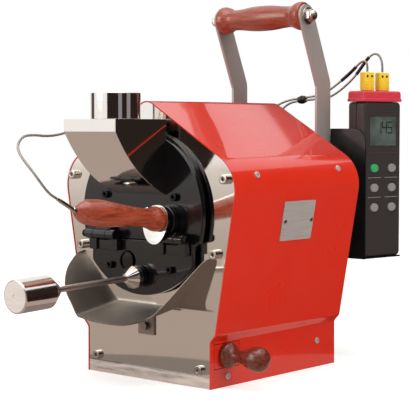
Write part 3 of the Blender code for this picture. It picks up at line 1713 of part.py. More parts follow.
def make_trier():
    """Steel tube with a scoop cut in its upper side, from the drum into the handle."""
    start = -DISC_THICK - TRIER_INSIDE
    length = wood_start() + WOOD_BORE_DEPTH - GAP - start
    bore = TRIER_RADIUS - TRIER_WALL
    tube = turned(
        "sampler_tube",
        [(0, bore), (0, TRIER_RADIUS), (length, TRIER_RADIUS), (length, bore)],
        sampler_point(start),
        sampler_axis(),
        sides=24,
        ring=True,
    )
    scoop = box(
        "scoop_cut",
        (-TRIER_RADIUS - OVERRUN, 0, SCOOP_INSET),
        (TRIER_RADIUS + OVERRUN, TRIER_RADIUS + OVERRUN, SCOOP_INSET + SCOOP_LENGTH),
        sampler_place(start),
    )
    cut(tube, scoop)
    return finish_part(tube, "brushed_steel")


def make_shield():
    """Pear-shaped steel shield in front of the guide, off the axis."""
    points = []
    for step in range(SHIELD_STEPS):
        angle = 2 * math.pi * step / SHIELD_STEPS
        up = math.sin(angle)
        width = SHIELD_HALF * (1 - (1 - SHIELD_FOOT_SHARE) * (1 - up) / 2)
        points.append((
            width * math.cos(angle) - SHIELD_OUT,
            SHIELD_LENGTH / 2 * up - SHIELD_DROP,
        ))
    shield = slab(
        "sampler_shield",
        [points, circle_points((0, 0), TRIER_RADIUS + GAP, 24)],
        SHIELD_THICK,
        sampler_place(GUIDE_REACH + SHIELD_GAP),
    )
    return finish_part(shield, "mirror_steel")


def make_sampler_handle():
    """Turned wooden handle, bored for the tube behind and the sleeve in front."""
    socket = TRIER_RADIUS + GAP
    shares = [
        (0.0, WOOD_FLANGE_RADIUS * 0.92),
        (0.02, WOOD_FLANGE_RADIUS),
        (0.06, WOOD_FLANGE_RADIUS * 0.98),
        (0.11, WOOD_NECK_RADIUS * 1.12),
        (0.17, WOOD_NECK_RADIUS),
        (0.30, WOOD_NECK_RADIUS * 1.04),
        (0.50, WOOD_BULGE_RADIUS * 0.88),
        (0.70, WOOD_BULGE_RADIUS),
        (0.82, WOOD_BULGE_RADIUS * 0.97),
        (0.91, WOOD_BULGE_RADIUS * 0.84),
        (0.97, WOOD_TIP_RADIUS),
        (1.0, WOOD_TIP_RADIUS * 0.55),
    ]
    profile = [(WOOD_BORE_DEPTH, 0), (WOOD_BORE_DEPTH, socket), (0, socket)]
    profile += [(share * WOOD_LENGTH, radius) for share, radius in shares]
    profile.append((WOOD_LENGTH, 0))
    handle = turned(
        "sampler_handle", profile, sampler_point(wood_start()), sampler_axis(), sides=20
    )
    hole = cylinder(
        "sleeve_hole",
        handle_tip() - sleeve_axis() * (SLEEVE_SEAT + GAP),
        sleeve_axis(),
        SLEEVE_SEAT + OVERRUN,
        SLEEVE_RADIUS + GAP,
        sides=12,
    )
    cut(handle, hole)
    return finish_part(handle, "red_wood")


def make_sleeve():
    """Steel sleeve of the probe, bent up from the handle's tip."""
    sleeve = cylinder(
        "probe_sleeve",
        handle_tip() - sleeve_axis() * SLEEVE_SEAT,
        sleeve_axis(),
        SLEEVE_SEAT + SLEEVE_LENGTH,
        SLEEVE_RADIUS,
        sides=12,
    )
    return finish_part(sleeve, "brushed_steel")


def handle_tip():
    """Return the tip of the sampler's wooden handle."""
    return sampler_point(wood_start() + WOOD_LENGTH)


def sleeve_axis():
    """Return the sleeve's direction, up and forward from the handle's tip."""
    return Vector((0, -math.cos(SLEEVE_RISE), math.sin(SLEEVE_RISE)))


def sleeve_end():
    """Return the sleeve's open end, where the lead comes out."""
    return handle_tip() + sleeve_axis() * SLEEVE_LENGTH


def make_drawer():
    """Chaff drawer: painted front, sheet tray and turned knob."""
    near = FRONT_Y + DRAWER_START
    far = near + DRAWER_WIDTH
    clear = DRAWER_CLEARANCE
    front = box(
        "drawer_front",
        (BASE_HALF - DRAWER_FRONT_THICK, near + clear, DRAWER_FLOOR + clear),
        (BASE_HALF, far - clear, DRAWER_FLOOR + DRAWER_HEIGHT - clear),
    )
    finish_part(front, "red_paint")
    low, high = drawer_box()
    tray = box("drawer_tray", low, high)
    hollow = box(
        "drawer_hollow",
        low + Vector((DRAWER_SHEET, DRAWER_SHEET, DRAWER_SHEET)),
        high + Vector((-DRAWER_SHEET, -DRAWER_SHEET, OVERRUN)),
    )
    cut(tray, hollow)
    finish_part(tray, "raw_steel")
    shares = [
        (0.0, KNOB_BASE_RADIUS * 0.94),
        (0.03, KNOB_BASE_RADIUS),
        (0.10, KNOB_BASE_RADIUS * 0.97),
        (0.18, KNOB_NECK_RADIUS * 1.25),
        (0.28, KNOB_NECK_RADIUS),
        (0.42, KNOB_NECK_RADIUS * 1.12),
        (0.56, KNOB_BALL_RADIUS * 0.80),
        (0.68, KNOB_BALL_RADIUS * 0.97),
        (0.78, KNOB_BALL_RADIUS),
        (0.88, KNOB_BALL_RADIUS * 0.90),
        (0.96, KNOB_BALL_RADIUS * 0.62),
        (1.0, KNOB_BALL_RADIUS * 0.20),
    ]
    profile = [(0, 0)] + [(share * KNOB_LENGTH, radius) for share, radius in shares]
    start = (BASE_HALF + GAP, near + DRAWER_WIDTH / 2, DRAWER_FLOOR + DRAWER_HEIGHT / 2)
    knob = turned("drawer_knob", profile + [(KNOB_LENGTH, 0)], start, ACROSS, sides=16)
    finish_part(knob, "red_wood")
    pivot("drawer_slide", start, [front, tray, knob])


def drawer_box():
    """Return the opposite corners of the drawer's tray."""
    near = FRONT_Y + DRAWER_START + DRAWER_CLEARANCE
    far = FRONT_Y + DRAWER_START + DRAWER_WIDTH - DRAWER_CLEARANCE
    end = BASE_HALF - DRAWER_FRONT_THICK - GAP
    low = Vector((end - DRAWER_LENGTH, near, DRAWER_FLOOR + DRAWER_CLEARANCE))
    high = Vector((end, far, DRAWER_FLOOR + DRAWER_HEIGHT - DRAWER_TRAY_DROP))
    return low, high


def make_shelf():
    """Shelf across the base, folded up beside the drawer as its runners."""
    low, high = drawer_box()
    top = low.z - GAP
    near = low.y - RUN - SHELF_SHEET
    far = high.y + RUN + SHELF_SHEET
    half = BASE_HALF - SHEET - GAP
    section = [
        (near, top - SHELF_SHEET),
        (far, top - SHELF_SHEET),
        (far, top + SHELF_LIP),
        (far - SHELF_SHEET, top + SHELF_LIP),
        (far - SHELF_SHEET, top),
        (near + SHELF_SHEET, top),
        (near + SHELF_SHEET, top + SHELF_LIP),
        (near, top + SHELF_LIP),
    ]
    shelf = slab("drawer_shelf", [section], 2 * half, facing_side(-half))
    finish_part(shelf, "raw_steel")


def make_label():
    """Bare plate with two screws on the right side, flat on the leaning sheet."""
    lean = flare_angle()
    outward = Vector((math.cos(lean), 0, -math.sin(lean)))
    upward = Vector((math.sin(lean), 0, math.cos(lean)))
    corner = Vector((wall_half(LABEL_LOW), FRONT_Y + LABEL_START, LABEL_LOW)) + outward * GAP
    place = frame_of(BACKWARD, upward, outward, corner)
    outline = rectangle((0, 0), (LABEL_WIDTH, LABEL_HEIGHT))
    plate = slab("name_plate", [outline], LABEL_THICK, place)
    for index, across in enumerate((LABEL_SCREW_EDGE, LABEL_WIDTH - LABEL_SCREW_EDGE)):
        screw = cylinder(
            f"label_screw_{index}",
            place @ Vector((across, LABEL_HEIGHT / 2, LABEL_THICK / 2)),
            outward,
            LABEL_THICK / 2 + LABEL_SCREW_REACH,
            LABEL_SCREW_RADIUS,
            sides=12,
        )
        fuse(plate, screw)
    finish_part(plate, "brushed_steel")


def curve_points(points):
    """Return fine points along a smooth curve through a route's points."""
    places = [Vector(point) for point in points]
    padded = [2 * places[0] - places[1]] + places + [2 * places[-1] - places[-2]]
    fine = []
    for index in range(1, len(padded) - 2):
        before, start, end, after = padded[index - 1:index + 3]
        for step in range(ROUTE_STEPS):
            share = step / ROUTE_STEPS
            straight = 2 * start + (end - before) * share
            square = (2 * before - 5 * start + 4 * end - after) * share ** 2
            cube = (3 * start - before - 3 * end + after) * share ** 3
            fine.append((straight + square + cube) / 2)
    return fine + [places[-1]]


def even_points(fine, spacing):
    """Return points at an even spacing along a fine path."""
    lengths = [0.0]
    for near, far in zip(fine, fine[1:]):
        lengths.append(lengths[-1] + (far - near).length)
    count = max(3, round(lengths[-1] / spacing))
    route, index = [], 0
    for step in range(count + 1):
        goal = lengths[-1] * step / count
        while index < len(lengths) - 2 and lengths[index + 1] < goal:
            index += 1
        share = (goal - lengths[index]) / (lengths[index + 1] - lengths[index])
        route.append(fine[index].lerp(fine[index + 1], share))
    return route


def make_lead(name, points):
    """Thin braided lead along a smooth route."""
    curve = bpy.data.curves.new(name, "CURVE")
    curve.dimensions = "3D"
    curve.bevel_depth = LEAD_RADIUS
    curve.bevel_resolution = 2
    curve.use_fill_caps = True
    route = even_points(curve_points(points), LEAD_SPACING)
    spline = curve.splines.new("POLY")
    spline.points.add(len(route) - 1)
    for point, place in zip(spline.points, route):
        point.co = (*place, 1)
    item = add_object(name, curve)
    bpy.context.view_layer.update()
    return finish_part(meshed(item), "braid")


def lead_rest(across):
    """Return the height of a lead that lies on the roof at a distance from the ridge."""
    return roof_height(across) + (LEAD_RADIUS + LEAD_LIFT) * math.sqrt(1 + ROOF_FALL ** 2)


def bead_frame():
    """Return the bead's start, end and direction, behind the ridge."""
    middle = Vector((BEAD_X, BACK_Y + BEAD_BEHIND, RIDGE_HEIGHT + BEAD_RISE))
    direction = Vector(BEAD_RUN).normalized()
    half = direction * BEAD_LENGTH / 2
    return middle - half, middle + half, direction


def front_loop_points():
    """Route from the probe's sleeve up and back towards the hopper."""
    start = sleeve_end() + sleeve_axis() * LEAD_GAP
    return [
        start,
        start + sleeve_axis() * LEAD_STRAIGHT,
        Vector((0.030, FRONT_Y - 0.179, HOPPER_TOP - 0.0505)),
        Vector((0.010, FRONT_Y - 0.181, HOPPER_TOP - 0.0295)),
        Vector((-0.008, FRONT_Y - 0.160, HOPPER_TOP - 0.0175)),
        Vector((-0.020, FRONT_Y - 0.135, HOPPER_TOP - 0.0155)),
    ]


def front_run_points():
    """Route past the hopper, over the left shoulder and through the bead to a plug."""
    near, far, direction = bead_frame()
    side = UPWARD * (LEAD_RADIUS + LEAD_GAP)
    plug = plug_point(-1) + Vector((0, 0, LEAD_GAP))
    loop = front_loop_points()
    onward = (loop[-1] - loop[-2]).normalized() * LEAD_GAP
    return [
        loop[-1] + onward,
        Vector((-0.0335, FRONT_Y - 0.108, HOPPER_TOP - 0.0165)),
        Vector((-0.046, FRONT_Y - 0.080, HOPPER_TOP - 0.0155)),
        Vector((-0.054, FRONT_Y - 0.045, HOPPER_TOP - 0.0105)),
        Vector((-0.057, FRONT_Y - 0.014, lead_rest(-0.057) + 0.001)),
        Vector((-0.058, FRONT_Y + 0.010, lead_rest(-0.058))),
        Vector((-0.059, FRONT_Y + 0.070, lead_rest(-0.059))),
        Vector((-0.059, FRONT_Y + 0.140, lead_rest(-0.059))),
        Vector((-0.056, BACK_Y - 0.012, lead_rest(-0.056))),
        Vector((-0.042, BACK_Y + 0.014, RIDGE_HEIGHT - 0.015)),
        Vector((-0.020, BACK_Y + 0.030, RIDGE_HEIGHT - 0.005)),
        near + side - direction * BEAD_LEAD,
        far + side + direction * BEAD_LEAD,
        Vector((0.046, BACK_Y + 0.041, RIDGE_HEIGHT + 0.011)),
        Vector((0.072, BACK_Y + 0.044, RIDGE_HEIGHT + 0.029)),
        Vector((0.092, BACK_Y + 0.045, RIDGE_HEIGHT + 0.0455)),
        plug + UPWARD * LEAD_STRAIGHT,
        plug,
    ]


def rear_lead_points():
    """Route from the gland on the rear plate through the bead to the other plug."""
    near, far, direction = bead_frame()
    side = -UPWARD * (LEAD_RADIUS + LEAD_GAP)
    plug = plug_point(1) + Vector((0, 0, LEAD_GAP))
    start = Vector((GLAND_X, REAR_INNER + GLAND_LENGTH + LEAD_GAP, GLAND_HEIGHT))
    return [
        start,
        start + BACKWARD * LEAD_STRAIGHT,
        Vector((-0.017, BACK_Y + 0.028, RIDGE_HEIGHT - 0.018)),
        near + side - direction * BEAD_LEAD,
        far + side + direction * BEAD_LEAD,
        Vector((0.048, BACK_Y + 0.046, RIDGE_HEIGHT + 0.0055)),
        Vector((0.070, BACK_Y + 0.056, RIDGE_HEIGHT + 0.025)),
        Vector((0.088, BACK_Y + 0.064, RIDGE_HEIGHT + 0.051)),
        plug + Vector((-0.006, 0.001, 0.022)),
        plug + UPWARD * LEAD_STRAIGHT,
        plug,
    ]


def make_gland():
    """Gland in the rear plate that the second lead comes out of."""
    collar = PLATE_THICK + GAP
    gland = turned(
        "lead_gland",
        [
            (0, GLAND_BORE_RADIUS),
            (0, GLAND_RADIUS),
            (collar, GLAND_RADIUS),
            (collar, GLAND_FLANGE_RADIUS),
            (collar + GLAND_FLANGE_THICK, GLAND_FLANGE_RADIUS),
            (GLAND_LENGTH, GLAND_RADIUS),
            (GLAND_LENGTH, GLAND_BORE_RADIUS),
        ],
        (GLAND_X, REAR_INNER, GLAND_HEIGHT),
        BACKWARD,
        sides=16,
        ring=True,
    )
    finish_part(gland, "black_plastic")


def make_bead():
    """Black bead that both leads run through."""
    near, far, direction = bead_frame()
    bead = turned(
        "lead_bead",
        [
            (0, BEAD_BORE_RADIUS),
            (0, BEAD_RADIUS),
            (BEAD_LENGTH, BEAD_RADIUS),
            (BEAD_LENGTH, BEAD_BORE_RADIUS),
        ],
        near,
        direction,
        sides=16,
        ring=True,
    )
    finish_part(bead, "black_plastic")


def make_sampler():
    """Everything that slides out with the sampler, and the lead's first loop."""
    pieces = [make_trier(), make_shield(), make_sampler_handle(), make_sleeve()]
    pieces.append(make_lead("lead_front_loop", front_loop_points()))
    pivot("sampler_slide", sampler_point(0), pieces)


def main():
    """Model the whole roaster."""
    clear_scene()
    make_housing()
    make_front_plate()
    make_rear_plate()
    make_rail("base_rail_front", FRONT_Y, 1)
    make_rail("base_rail_rear", BACK_Y, -1)
    make_mouth_ring()
    make_upper_disc()
    make_sampler_guide()
    make_port_plug()
    make_hopper()
    make_door()
    make_tray()
    make_tray_bracket()
    make_drum()
    make_bearing()
    make_gearmotor()
    make_motor_cover()
    make_handle_bar("handle_bar_left", -1)
    make_handle_bar("handle_bar_right", 1)
    make_grip()
    make_tie_rod()
    make_meter_case()
    make_plugs()
    make_cradle()
    make_drawer()
    make_shelf()
    make_label()
    make_sampler()
    make_gland()
    make_bead()
    make_lead("lead_front_run", front_run_points())
    make_lead("lead_rear", rear_lead_points())


main()
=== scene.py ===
"""Looks of a home coffee bean roaster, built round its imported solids."""

import logging
import math
from dataclasses import dataclass, field
from enum import Enum

import bmesh
import bpy
from mathutils import Matrix, Vector


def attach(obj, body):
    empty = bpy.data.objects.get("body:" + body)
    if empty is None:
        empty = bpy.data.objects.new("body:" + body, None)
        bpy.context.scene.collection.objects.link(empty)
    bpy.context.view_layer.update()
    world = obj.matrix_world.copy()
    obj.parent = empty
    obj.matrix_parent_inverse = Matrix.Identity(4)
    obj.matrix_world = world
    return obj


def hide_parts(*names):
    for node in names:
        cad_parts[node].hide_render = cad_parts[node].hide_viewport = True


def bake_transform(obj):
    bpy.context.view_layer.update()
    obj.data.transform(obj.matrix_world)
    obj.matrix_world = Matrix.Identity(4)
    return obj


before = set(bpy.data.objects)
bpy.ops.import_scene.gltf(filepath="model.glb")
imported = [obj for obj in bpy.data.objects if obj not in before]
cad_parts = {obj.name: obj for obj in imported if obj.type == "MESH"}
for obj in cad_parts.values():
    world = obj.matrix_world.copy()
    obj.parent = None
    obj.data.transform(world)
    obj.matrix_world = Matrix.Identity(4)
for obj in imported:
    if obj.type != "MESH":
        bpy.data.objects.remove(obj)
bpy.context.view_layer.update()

LOG = logging.getLogger("roaster")

Point = tuple[float, float]
Triple = tuple[float, float, float]
Path = list[Point]
Form = bmesh.types.BMesh
Edges = list[bmesh.types.BMEdge]
Item = bpy.types.Object
Socket = bpy.types.NodeSocket

# Planes that several sub-assemblies share, in metres.
SHAFT_Z = 0.180
FRONT_Y = -0.012
PLATE_FRONT = -0.0114
DISC_FRONT = -0.021
DISC_THICK = 0.0055
DISC_BACK = DISC_FRONT + DISC_THICK
PIN_Y = -0.030
HINGE_Z = 0.149
GAP = 0.0003

ACROSS = Vector((1, 0, 0))
BACKWARD = Vector((0, 1, 0))
FORWARD = Vector((0, -1, 0))
UPWARD = Vector((0, 0, 1))
SIDES = (-1, 1)


class Body(Enum):
    """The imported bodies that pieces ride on."""

    CHASSIS = "chassis"
    DOOR = "discharge_door"
    SAMPLER = "sampler"
    DRAWER = "chaff_drawer"
    POWER = "button_power"
    RECORD = "button_record"
    MODE = "button_mode"
    HOLD = "button_hold"
    ALARM = "button_alarm"
    LIGHT = "button_light"


class Grain(Enum):
    """The direction that brushing or wood grain runs in."""

    X = (0.0, 0.0, 0.0)
    Y = (0.0, 0.0, math.pi / 2)
    Z = (0.0, math.pi / 2, 0.0)


# ---- finishes


def linear(code: str) -> tuple[float, float, float, float]:
    """Turn an sRGB hex colour into a linear one.

    Args:
        code: Six hex digits.

    Returns:
        Linear red, green and blue, and an alpha of 1.
    """
    parts = [int(code[index:index + 2], 16) / 255 for index in (0, 2, 4)]
    shades = [p / 12.92 if p <= 0.04045 else ((p + 0.055) / 1.055) ** 2.4 for p in parts]
    return shades[0], shades[1], shades[2], 1.0


class Nodes:
    """The node tree of a material or a world, with its own shader."""

    def __init__(self, owner: bpy.types.ID, shader: str = "Principled BSDF") -> None:
        """Take up the owner's tree and the shader in it."""
        owner.use_nodes = True
        self.tree = owner.node_tree
        self.shader = self.tree.nodes[shader]

    def add(
        self, kind: str, values: dict | None = None, links: dict | None = None,
        **settings: object,
    ) -> bpy.types.Node:
        """Add a node with its settings, socket values and incoming links.

        Args:
            kind: The node's type, without its ShaderNode prefix.
            values: Socket values by name or number.
            links: Sockets that feed the node, by name or number.
            settings: The node's own settings.

        Returns:
            The new node.
        """
        node = self.tree.nodes.new(f"ShaderNode{kind}")
        for key, value in settings.items():
            setattr(node, key, value)
        for key, value in (values or {}).items():
            node.inputs[key].default_value = value
        for key, source in (links or {}).items():
            self.tree.links.new(source, node.inputs[key])
        return node

    def shade(self, values: dict) -> None:
        """Set values on the shader's own sockets."""
        for key, value in values.items():
            self.shader.inputs[key].default_value = value

    def feed(self, source: Socket, key: str) -> None:
        """Link a socket to one of the shader's own."""
        self.tree.links.new(source, self.shader.inputs[key])

    def show(self, node: bpy.types.Node) -> None:
        """Let another node make the material's surface."""
        output = self.tree.nodes["Material Output"]
        self.tree.links.new(node.outputs[0], output.inputs["Surface"])

    def spread(self, source: Socket, given: Point, wanted: Point = (0.0, 1.0)) -> Socket:
        """Map a value from a given range to a wanted one."""
        names = ("From Min", "From Max", "To Min", "To Max")
        values = dict(zip(names, (*given, *wanted)))
        return self.add("MapRange", values, {"Value": source}).outputs[0]

    def mixed(self, share: Socket, first: str, second: str) -> Socket:
        """Mix two hex colours by a share."""
        colours = {6: linear(first), 7: linear(second)}
        return self.add("Mix", colours, {0: share}, data_type="RGBA").outputs[2]

    def pattern(
        self, run: float, across: float, grain: Grain = Grain.X, detail: float = 3.0
    ) -> Socket:
        """Return noise whose features have given sizes.

        Args:
            run: Feature size in metres along the grain.
            across: Feature size in metres across it.
            grain: The grain's direction.
            detail: Octaves of noise.

        Returns:
            The noise's value.
        """
        place = self.add("TexCoord").outputs["Object"]
        turned_place = self.add("Mapping", {"Rotation": grain.value}, {"Vector": place})
        scale = tuple(1 / size for size in (run, across, across))
        scaled = self.add("Mapping", {"Scale": scale}, {"Vector": turned_place.outputs[0]})
        values = {"Scale": 1.0, "Detail": detail, "Roughness": 0.6}
        return self.add("TexNoise", values, {"Vector": scaled.outputs[0]}).outputs["Fac"]

    def vary(self, source: Socket, rough: float, low: float, high: float) -> None:
        """Let a pattern move the roughness between two shares of its value."""
        self.feed(self.spread(source, (0.3, 0.7), (rough * low, rough * high)), "Roughness")

    def tint(
        self, source: Socket, first: str, second: str, given: Point = (0.3, 0.7)
    ) -> None:
        """Let a pattern mix the base colour from two hex colours."""
        self.feed(self.mixed(self.spread(source, given), first, second), "Base Color")

    def relief(
        self, source: Socket, depth: float, strength: float = 1.0, key: str = "Normal"
    ) -> None:
        """Let a pattern raise the surface by a depth in metres."""
        values = {"Distance": depth, "Strength": strength}
        self.feed(self.add("Bump", values, {"Height": source}).outputs[0], key)


@dataclass(frozen=True)
class Finish:
    """What a surface is made of, and how it was made."""

    name: str
    slot: str
    colour: str
    rough: float

    def material(self) -> bpy.types.Material:
        """Return the finish's material, made once."""
        found = bpy.data.materials.get(self.name)
        if found is None:
            found = bpy.data.materials.new(self.name)
            skin = Nodes(found)
            skin.shade({"Base Color": linear(self.colour), "Roughness": self.rough})
            self.dress(skin)
        return found

    def dress(self, skin: Nodes) -> None:
        """Add what makes the finish itself; a plain one adds nothing."""


@dataclass(frozen=True)
class Enamel(Finish):
    """Gloss paint, sprayed and baked: an even skin with a faint orange peel."""

    coat: float = 1.0
    peel: float = 0.0018
    depth: float = 0.0000015

    def dress(self, skin: Nodes) -> None:
        """Add the clear gloss and its orange peel."""
        skin.shade({"IOR": 1.5, "Coat Weight": self.coat, "Coat Roughness": 0.04})
        skin.vary(skin.pattern(0.05, 0.05), self.rough, 0.85, 1.2)
        fine = skin.pattern(self.peel, self.peel, detail=1.0)
        for key in ("Normal", "Coat Normal"):
            skin.relief(fine, self.depth, key=key)


@dataclass(frozen=True)
class PolishedSteel(Finish):
    """Stainless steel buffed to a mirror: wiping marks show as faint streaks."""

    grain: Grain = Grain.X

    def dress(self, skin: Nodes) -> None:
        """Add the metal and its wiping marks."""
        skin.shade({"Metallic": 1.0})
        skin.vary(skin.pattern(0.030, 0.003, self.grain), self.rough, 0.7, 1.6)


@dataclass(frozen=True)
class BrushedSteel(Finish):
    """Stainless steel linished one way: 0.3 mm scratches, drawn 0.5 mm wide to show."""

    grain: Grain = Grain.X
    shade: str = "6f6c69"
    metal: float = 1.0

    def dress(self, skin: Nodes) -> None:
        """Add the metal, its scratches and their uneven tone."""
        skin.shade({"Metallic": self.metal})
        lines = skin.pattern(0.045, 0.0005, self.grain, 4.0)
        skin.tint(lines, self.shade, self.colour, (0.25, 0.65))
        skin.vary(lines, self.rough, 0.8, 1.25)
        skin.relief(lines, 0.00002, 0.5)


@dataclass(frozen=True)
class ScaledSteel(Finish):
    """Mild steel as rolled and heated: mottled grey with straw and blue patches."""

    shade: str = "4a4540"

    def dress(self, skin: Nodes) -> None:
        """Add the metal and its mottling."""
        skin.shade({"Metallic": 0.9})
        patches = skin.pattern(0.018, 0.018, detail=6.0)
        skin.tint(patches, self.shade, self.colour)
        skin.vary(patches, self.rough, 1.0, 1.4)
        skin.relief(skin.pattern(0.0015, 0.0015), 0.00004, 0.4)


@dataclass(frozen=True)
class Moulded(Finish):
    """Moulded ABS or rubber: a spark-eroded grain of about 0.6 mm, dull in its pits."""

    depth: float = 0.00003
    grit: float = 0.0006

    def dress(self, skin: Nodes) -> None:
        """Add the moulded grain."""
        skin.shade({"IOR": 1.54})
        pits = skin.pattern(self.grit, self.grit, detail=2.0)
        skin.relief(pits, self.depth, 0.6)
        skin.vary(pits, self.rough, 0.85, 1.15)


@dataclass(frozen=True)
class VarnishedWood(Finish):
    """Rosewood, turned and varnished: long dark streaks under a clear gloss coat."""

    dark: str = "742c1a"
    grain: Grain = Grain.X

    def dress(self, skin: Nodes) -> None:
        """Add streaks, pores and the varnish."""
        streaks = skin.pattern(0.050, 0.0022, self.grain, 5.0)
        skin.tint(streaks, self.dark, self.colour, (0.30, 0.62))
        pores = skin.pattern(0.009, 0.0006, self.grain, 2.0)
        skin.relief(pores, 0.00004, 0.35)
        skin.vary(pores, self.rough, 0.8, 1.3)
        skin.shade({"Coat Weight": 0.5, "Coat Roughness": 0.12})


@dataclass(frozen=True)
class SteelBraid(Finish):
    """Tinned wire braid over glass fibre: 0.5 mm plaits that run both ways round."""

    shade: str = "5d5752"

    def dress(self, skin: Nodes) -> None:
        """Add the crossing plaits, which follow the lead's own UV map."""
        skin.shade({"Metallic": 0.8})
        run = skin.add("UVMap", uv_map="run").outputs[0]
        waves = {}
        for index, lean in enumerate(SIDES):
            rotation = {"Rotation": (0, 0, lean * math.pi / 4)}
            place = skin.add("Mapping", rotation, {"Vector": run}).outputs[0]
            wave = skin.add("TexWave", {"Scale": 700.0}, {"Vector": place})
            waves[index] = wave.outputs["Fac"]
        crossed = skin.add("Math", links=waves, operation="MAXIMUM").outputs[0]
        skin.tint(crossed, self.shade, self.colour)
        skin.relief(crossed, 0.00015, 0.7)


@dataclass(frozen=True)
class DisplayGlass(Finish):
    """Glass over a liquid crystal: grey-green, a little uneven, with a glossy front."""

    shade: str = "3b423e"

    def dress(self, skin: Nodes) -> None:
        """Add the uneven crystal and the glass."""
        skin.tint(skin.pattern(0.020, 0.020), self.shade, self.colour)
        skin.shade({"Coat Weight": 1.0, "Coat Roughness": 0.03})


@dataclass(frozen=True)
class DarkGlass(Finish):
    """Borosilicate glass over a dark chamber, opaque and painted almost black as that chamber's
    shade, with a clean gloss.
    """

    soot: str = "080706"

    def dress(self, skin: Nodes) -> None:
        """Add the gloss and faint soot."""
        skin.shade({"IOR": 1.47})
        skin.tint(skin.pattern(0.004, 0.004), self.soot, self.colour)


RED = Enamel("baked_red_enamel", "red_paint", "d5250a", 0.30)
BLACK = Enamel("gloss_black_enamel", "black_paint", "0d0d0f", 0.16, coat=0.35, depth=0.000002)
SATIN = Enamel("satin_black_enamel", "black_paint", "101012", 0.42, coat=0.25)
MIRROR = PolishedSteel("mirror_stainless_steel", "mirror_steel", "eee9e2", 0.055)
SHINE = PolishedSteel("bright_turned_steel", "brushed_steel", "c9c2b9", 0.16, Grain.Y)
ROD = PolishedSteel("drawn_steel_rod", "brushed_steel", "ded5ce", 0.30, Grain.Y)
BARS = BrushedSteel("linished_steel_bar", "brushed_steel", "c3b9b4", 0.62, Grain.Z, "b3a8a2", 0.62)
TROUGH = BrushedSteel("linished_steel_sheet", "brushed_steel", "a2978e", 0.42, Grain.X, "7b7169")
TURNED = PolishedSteel("turned_steel", "brushed_steel", "f0e7e1", 0.11, Grain.Y)
FACED = BrushedSteel("faced_steel", "brushed_steel", "f0e9e4", 0.50, Grain.X, "dad2cd", 0.5)
RAIL = PolishedSteel("satin_rail_steel", "mirror_steel", "f6ece5", 0.34)
TUBE = PolishedSteel("drawn_steel_tube", "brushed_steel", "b5afa8", 0.2, Grain.Y)
DARK_STEEL = PolishedSteel("blackened_steel", "black_paint", "2a2a2b", 0.22, Grain.Y)
BLANK = BrushedSteel("linished_nameplate", "brushed_steel", "dcd2cc", 0.58, Grain.Y, "b8ada6", 0.55)
SCALED = ScaledSteel("heated_drum_steel", "raw_steel", "7d7871", 0.42)
CASE = Moulded("grained_case_abs", "grey_plastic", "352e2c", 0.50)
FACE = Moulded("smooth_face_abs", "grey_plastic", "41393a", 0.42, 0.00001)
CAP = Moulded("red_cap_abs", "red_plastic", "c8303f", 0.36, 0.00001)
YELLOW = Moulded("yellow_plug_nylon", "yellow_plastic", "ecc42c", 0.40, 0.00001)
SLEEVING = Moulded("black_shrink_sleeve", "black_plastic", "141314", 0.45)
GREEN = Moulded("green_key_rubber", "green_rubber", "2f9a5c", 0.50, 0.00001)
GREY = Moulded("grey_key_rubber", "grey_rubber", "857f7d", 0.55, 0.00001)
INK = Moulded("pale_line_ink", "grey_plastic", "8d8785", 0.50)
DIGIT = Moulded("dark_crystal_segment", "screen_glass", "1d2321", 0.30)
GRIP_WOOD = VarnishedWood("varnished_rosewood_across", "red_wood", "a5452b", 0.30)
TRIER_WOOD = VarnishedWood("varnished_rosewood_forward", "red_wood", "a5452b", 0.26, grain=Grain.Y)
KNOB_WOOD = VarnishedWood("varnished_rosewood_knob", "red_wood", "7a3524", 0.28, "3f180f")
BRAID = SteelBraid("tinned_wire_braid", "braid", "bcb4ab", 0.38)
SCREEN = DisplayGlass("liquid_crystal_glass", "screen_glass", "59625d", 0.20)
# Painted shade: the pane is opaque, and its near-black colour stands for the unlit chamber behind
# it.
GLASS = DarkGlass("sooted_glass_painted_shade", "sight_glass", "17110e", 0.06)


# ---- forms


def closed(form: Form) -> Form:
    """Merge a form's doubled vertices and turn its faces outwards."""
    bmesh.ops.remove_doubles(form, verts=form.verts, dist=1e-6)
    bmesh.ops.dissolve_degenerate(form, dist=1e-7, edges=form.edges)
    bmesh.ops.recalc_face_normals(form, faces=form.faces)
    return form


def chain(points: list[bmesh.types.BMVert], form: Form) -> Edges:
    """Join vertices in a row by edges."""
    return [form.edges.new(pair) for pair in zip(points, points[1:])]


def drawn(form: Form, outlines: list[Path], up: float = 0.0) -> Edges:
    """Draw closed outlines at a height along local Z, and return their edges."""
    edges = []
    for outline in outlines:
        ring = [form.verts.new((*point, up)) for point in outline]
        edges += [form.edges.new((ring[index - 1], ring[index])) for index in range(len(ring))]
    return edges


def fill(form: Form, edges: Edges) -> None:
    """Fill an outline, apart from its holes."""
    bmesh.ops.triangle_fill(form, use_beauty=True, use_dissolve=False, edges=edges)


def push(form: Form, grown: dict, depth: float) -> None:
    """Move what an extrusion made along local Z."""
    fresh = [item for item in grown["geom"] if isinstance(item, bmesh.types.BMVert)]
    bmesh.ops.translate(form, vec=(0, 0, depth), verts=fresh)


def lathe(profile: Path, steps: int = 64) -> Form:
    """Turn a profile round local Z.

    Args:
        profile: Points of (distance, radius); a ring's profile comes back inside.
        steps: Faces round the form.

    Returns:
        The closed form.
    """
    form = bmesh.new()
    points = [form.verts.new((radius, 0, distance)) for distance, radius in profile]
    edges = chain(points, form)
    if profile[0][1] > 0:
        edges.append(form.edges.new((points[-1], points[0])))
    bmesh.ops.spin(
        form, geom=points + edges, cent=(0, 0, 0), axis=(0, 0, 1), dvec=(0, 0, 0),
        angle=2 * math.pi, steps=steps, use_merge=True, use_duplicate=False,
    )
    return closed(form)


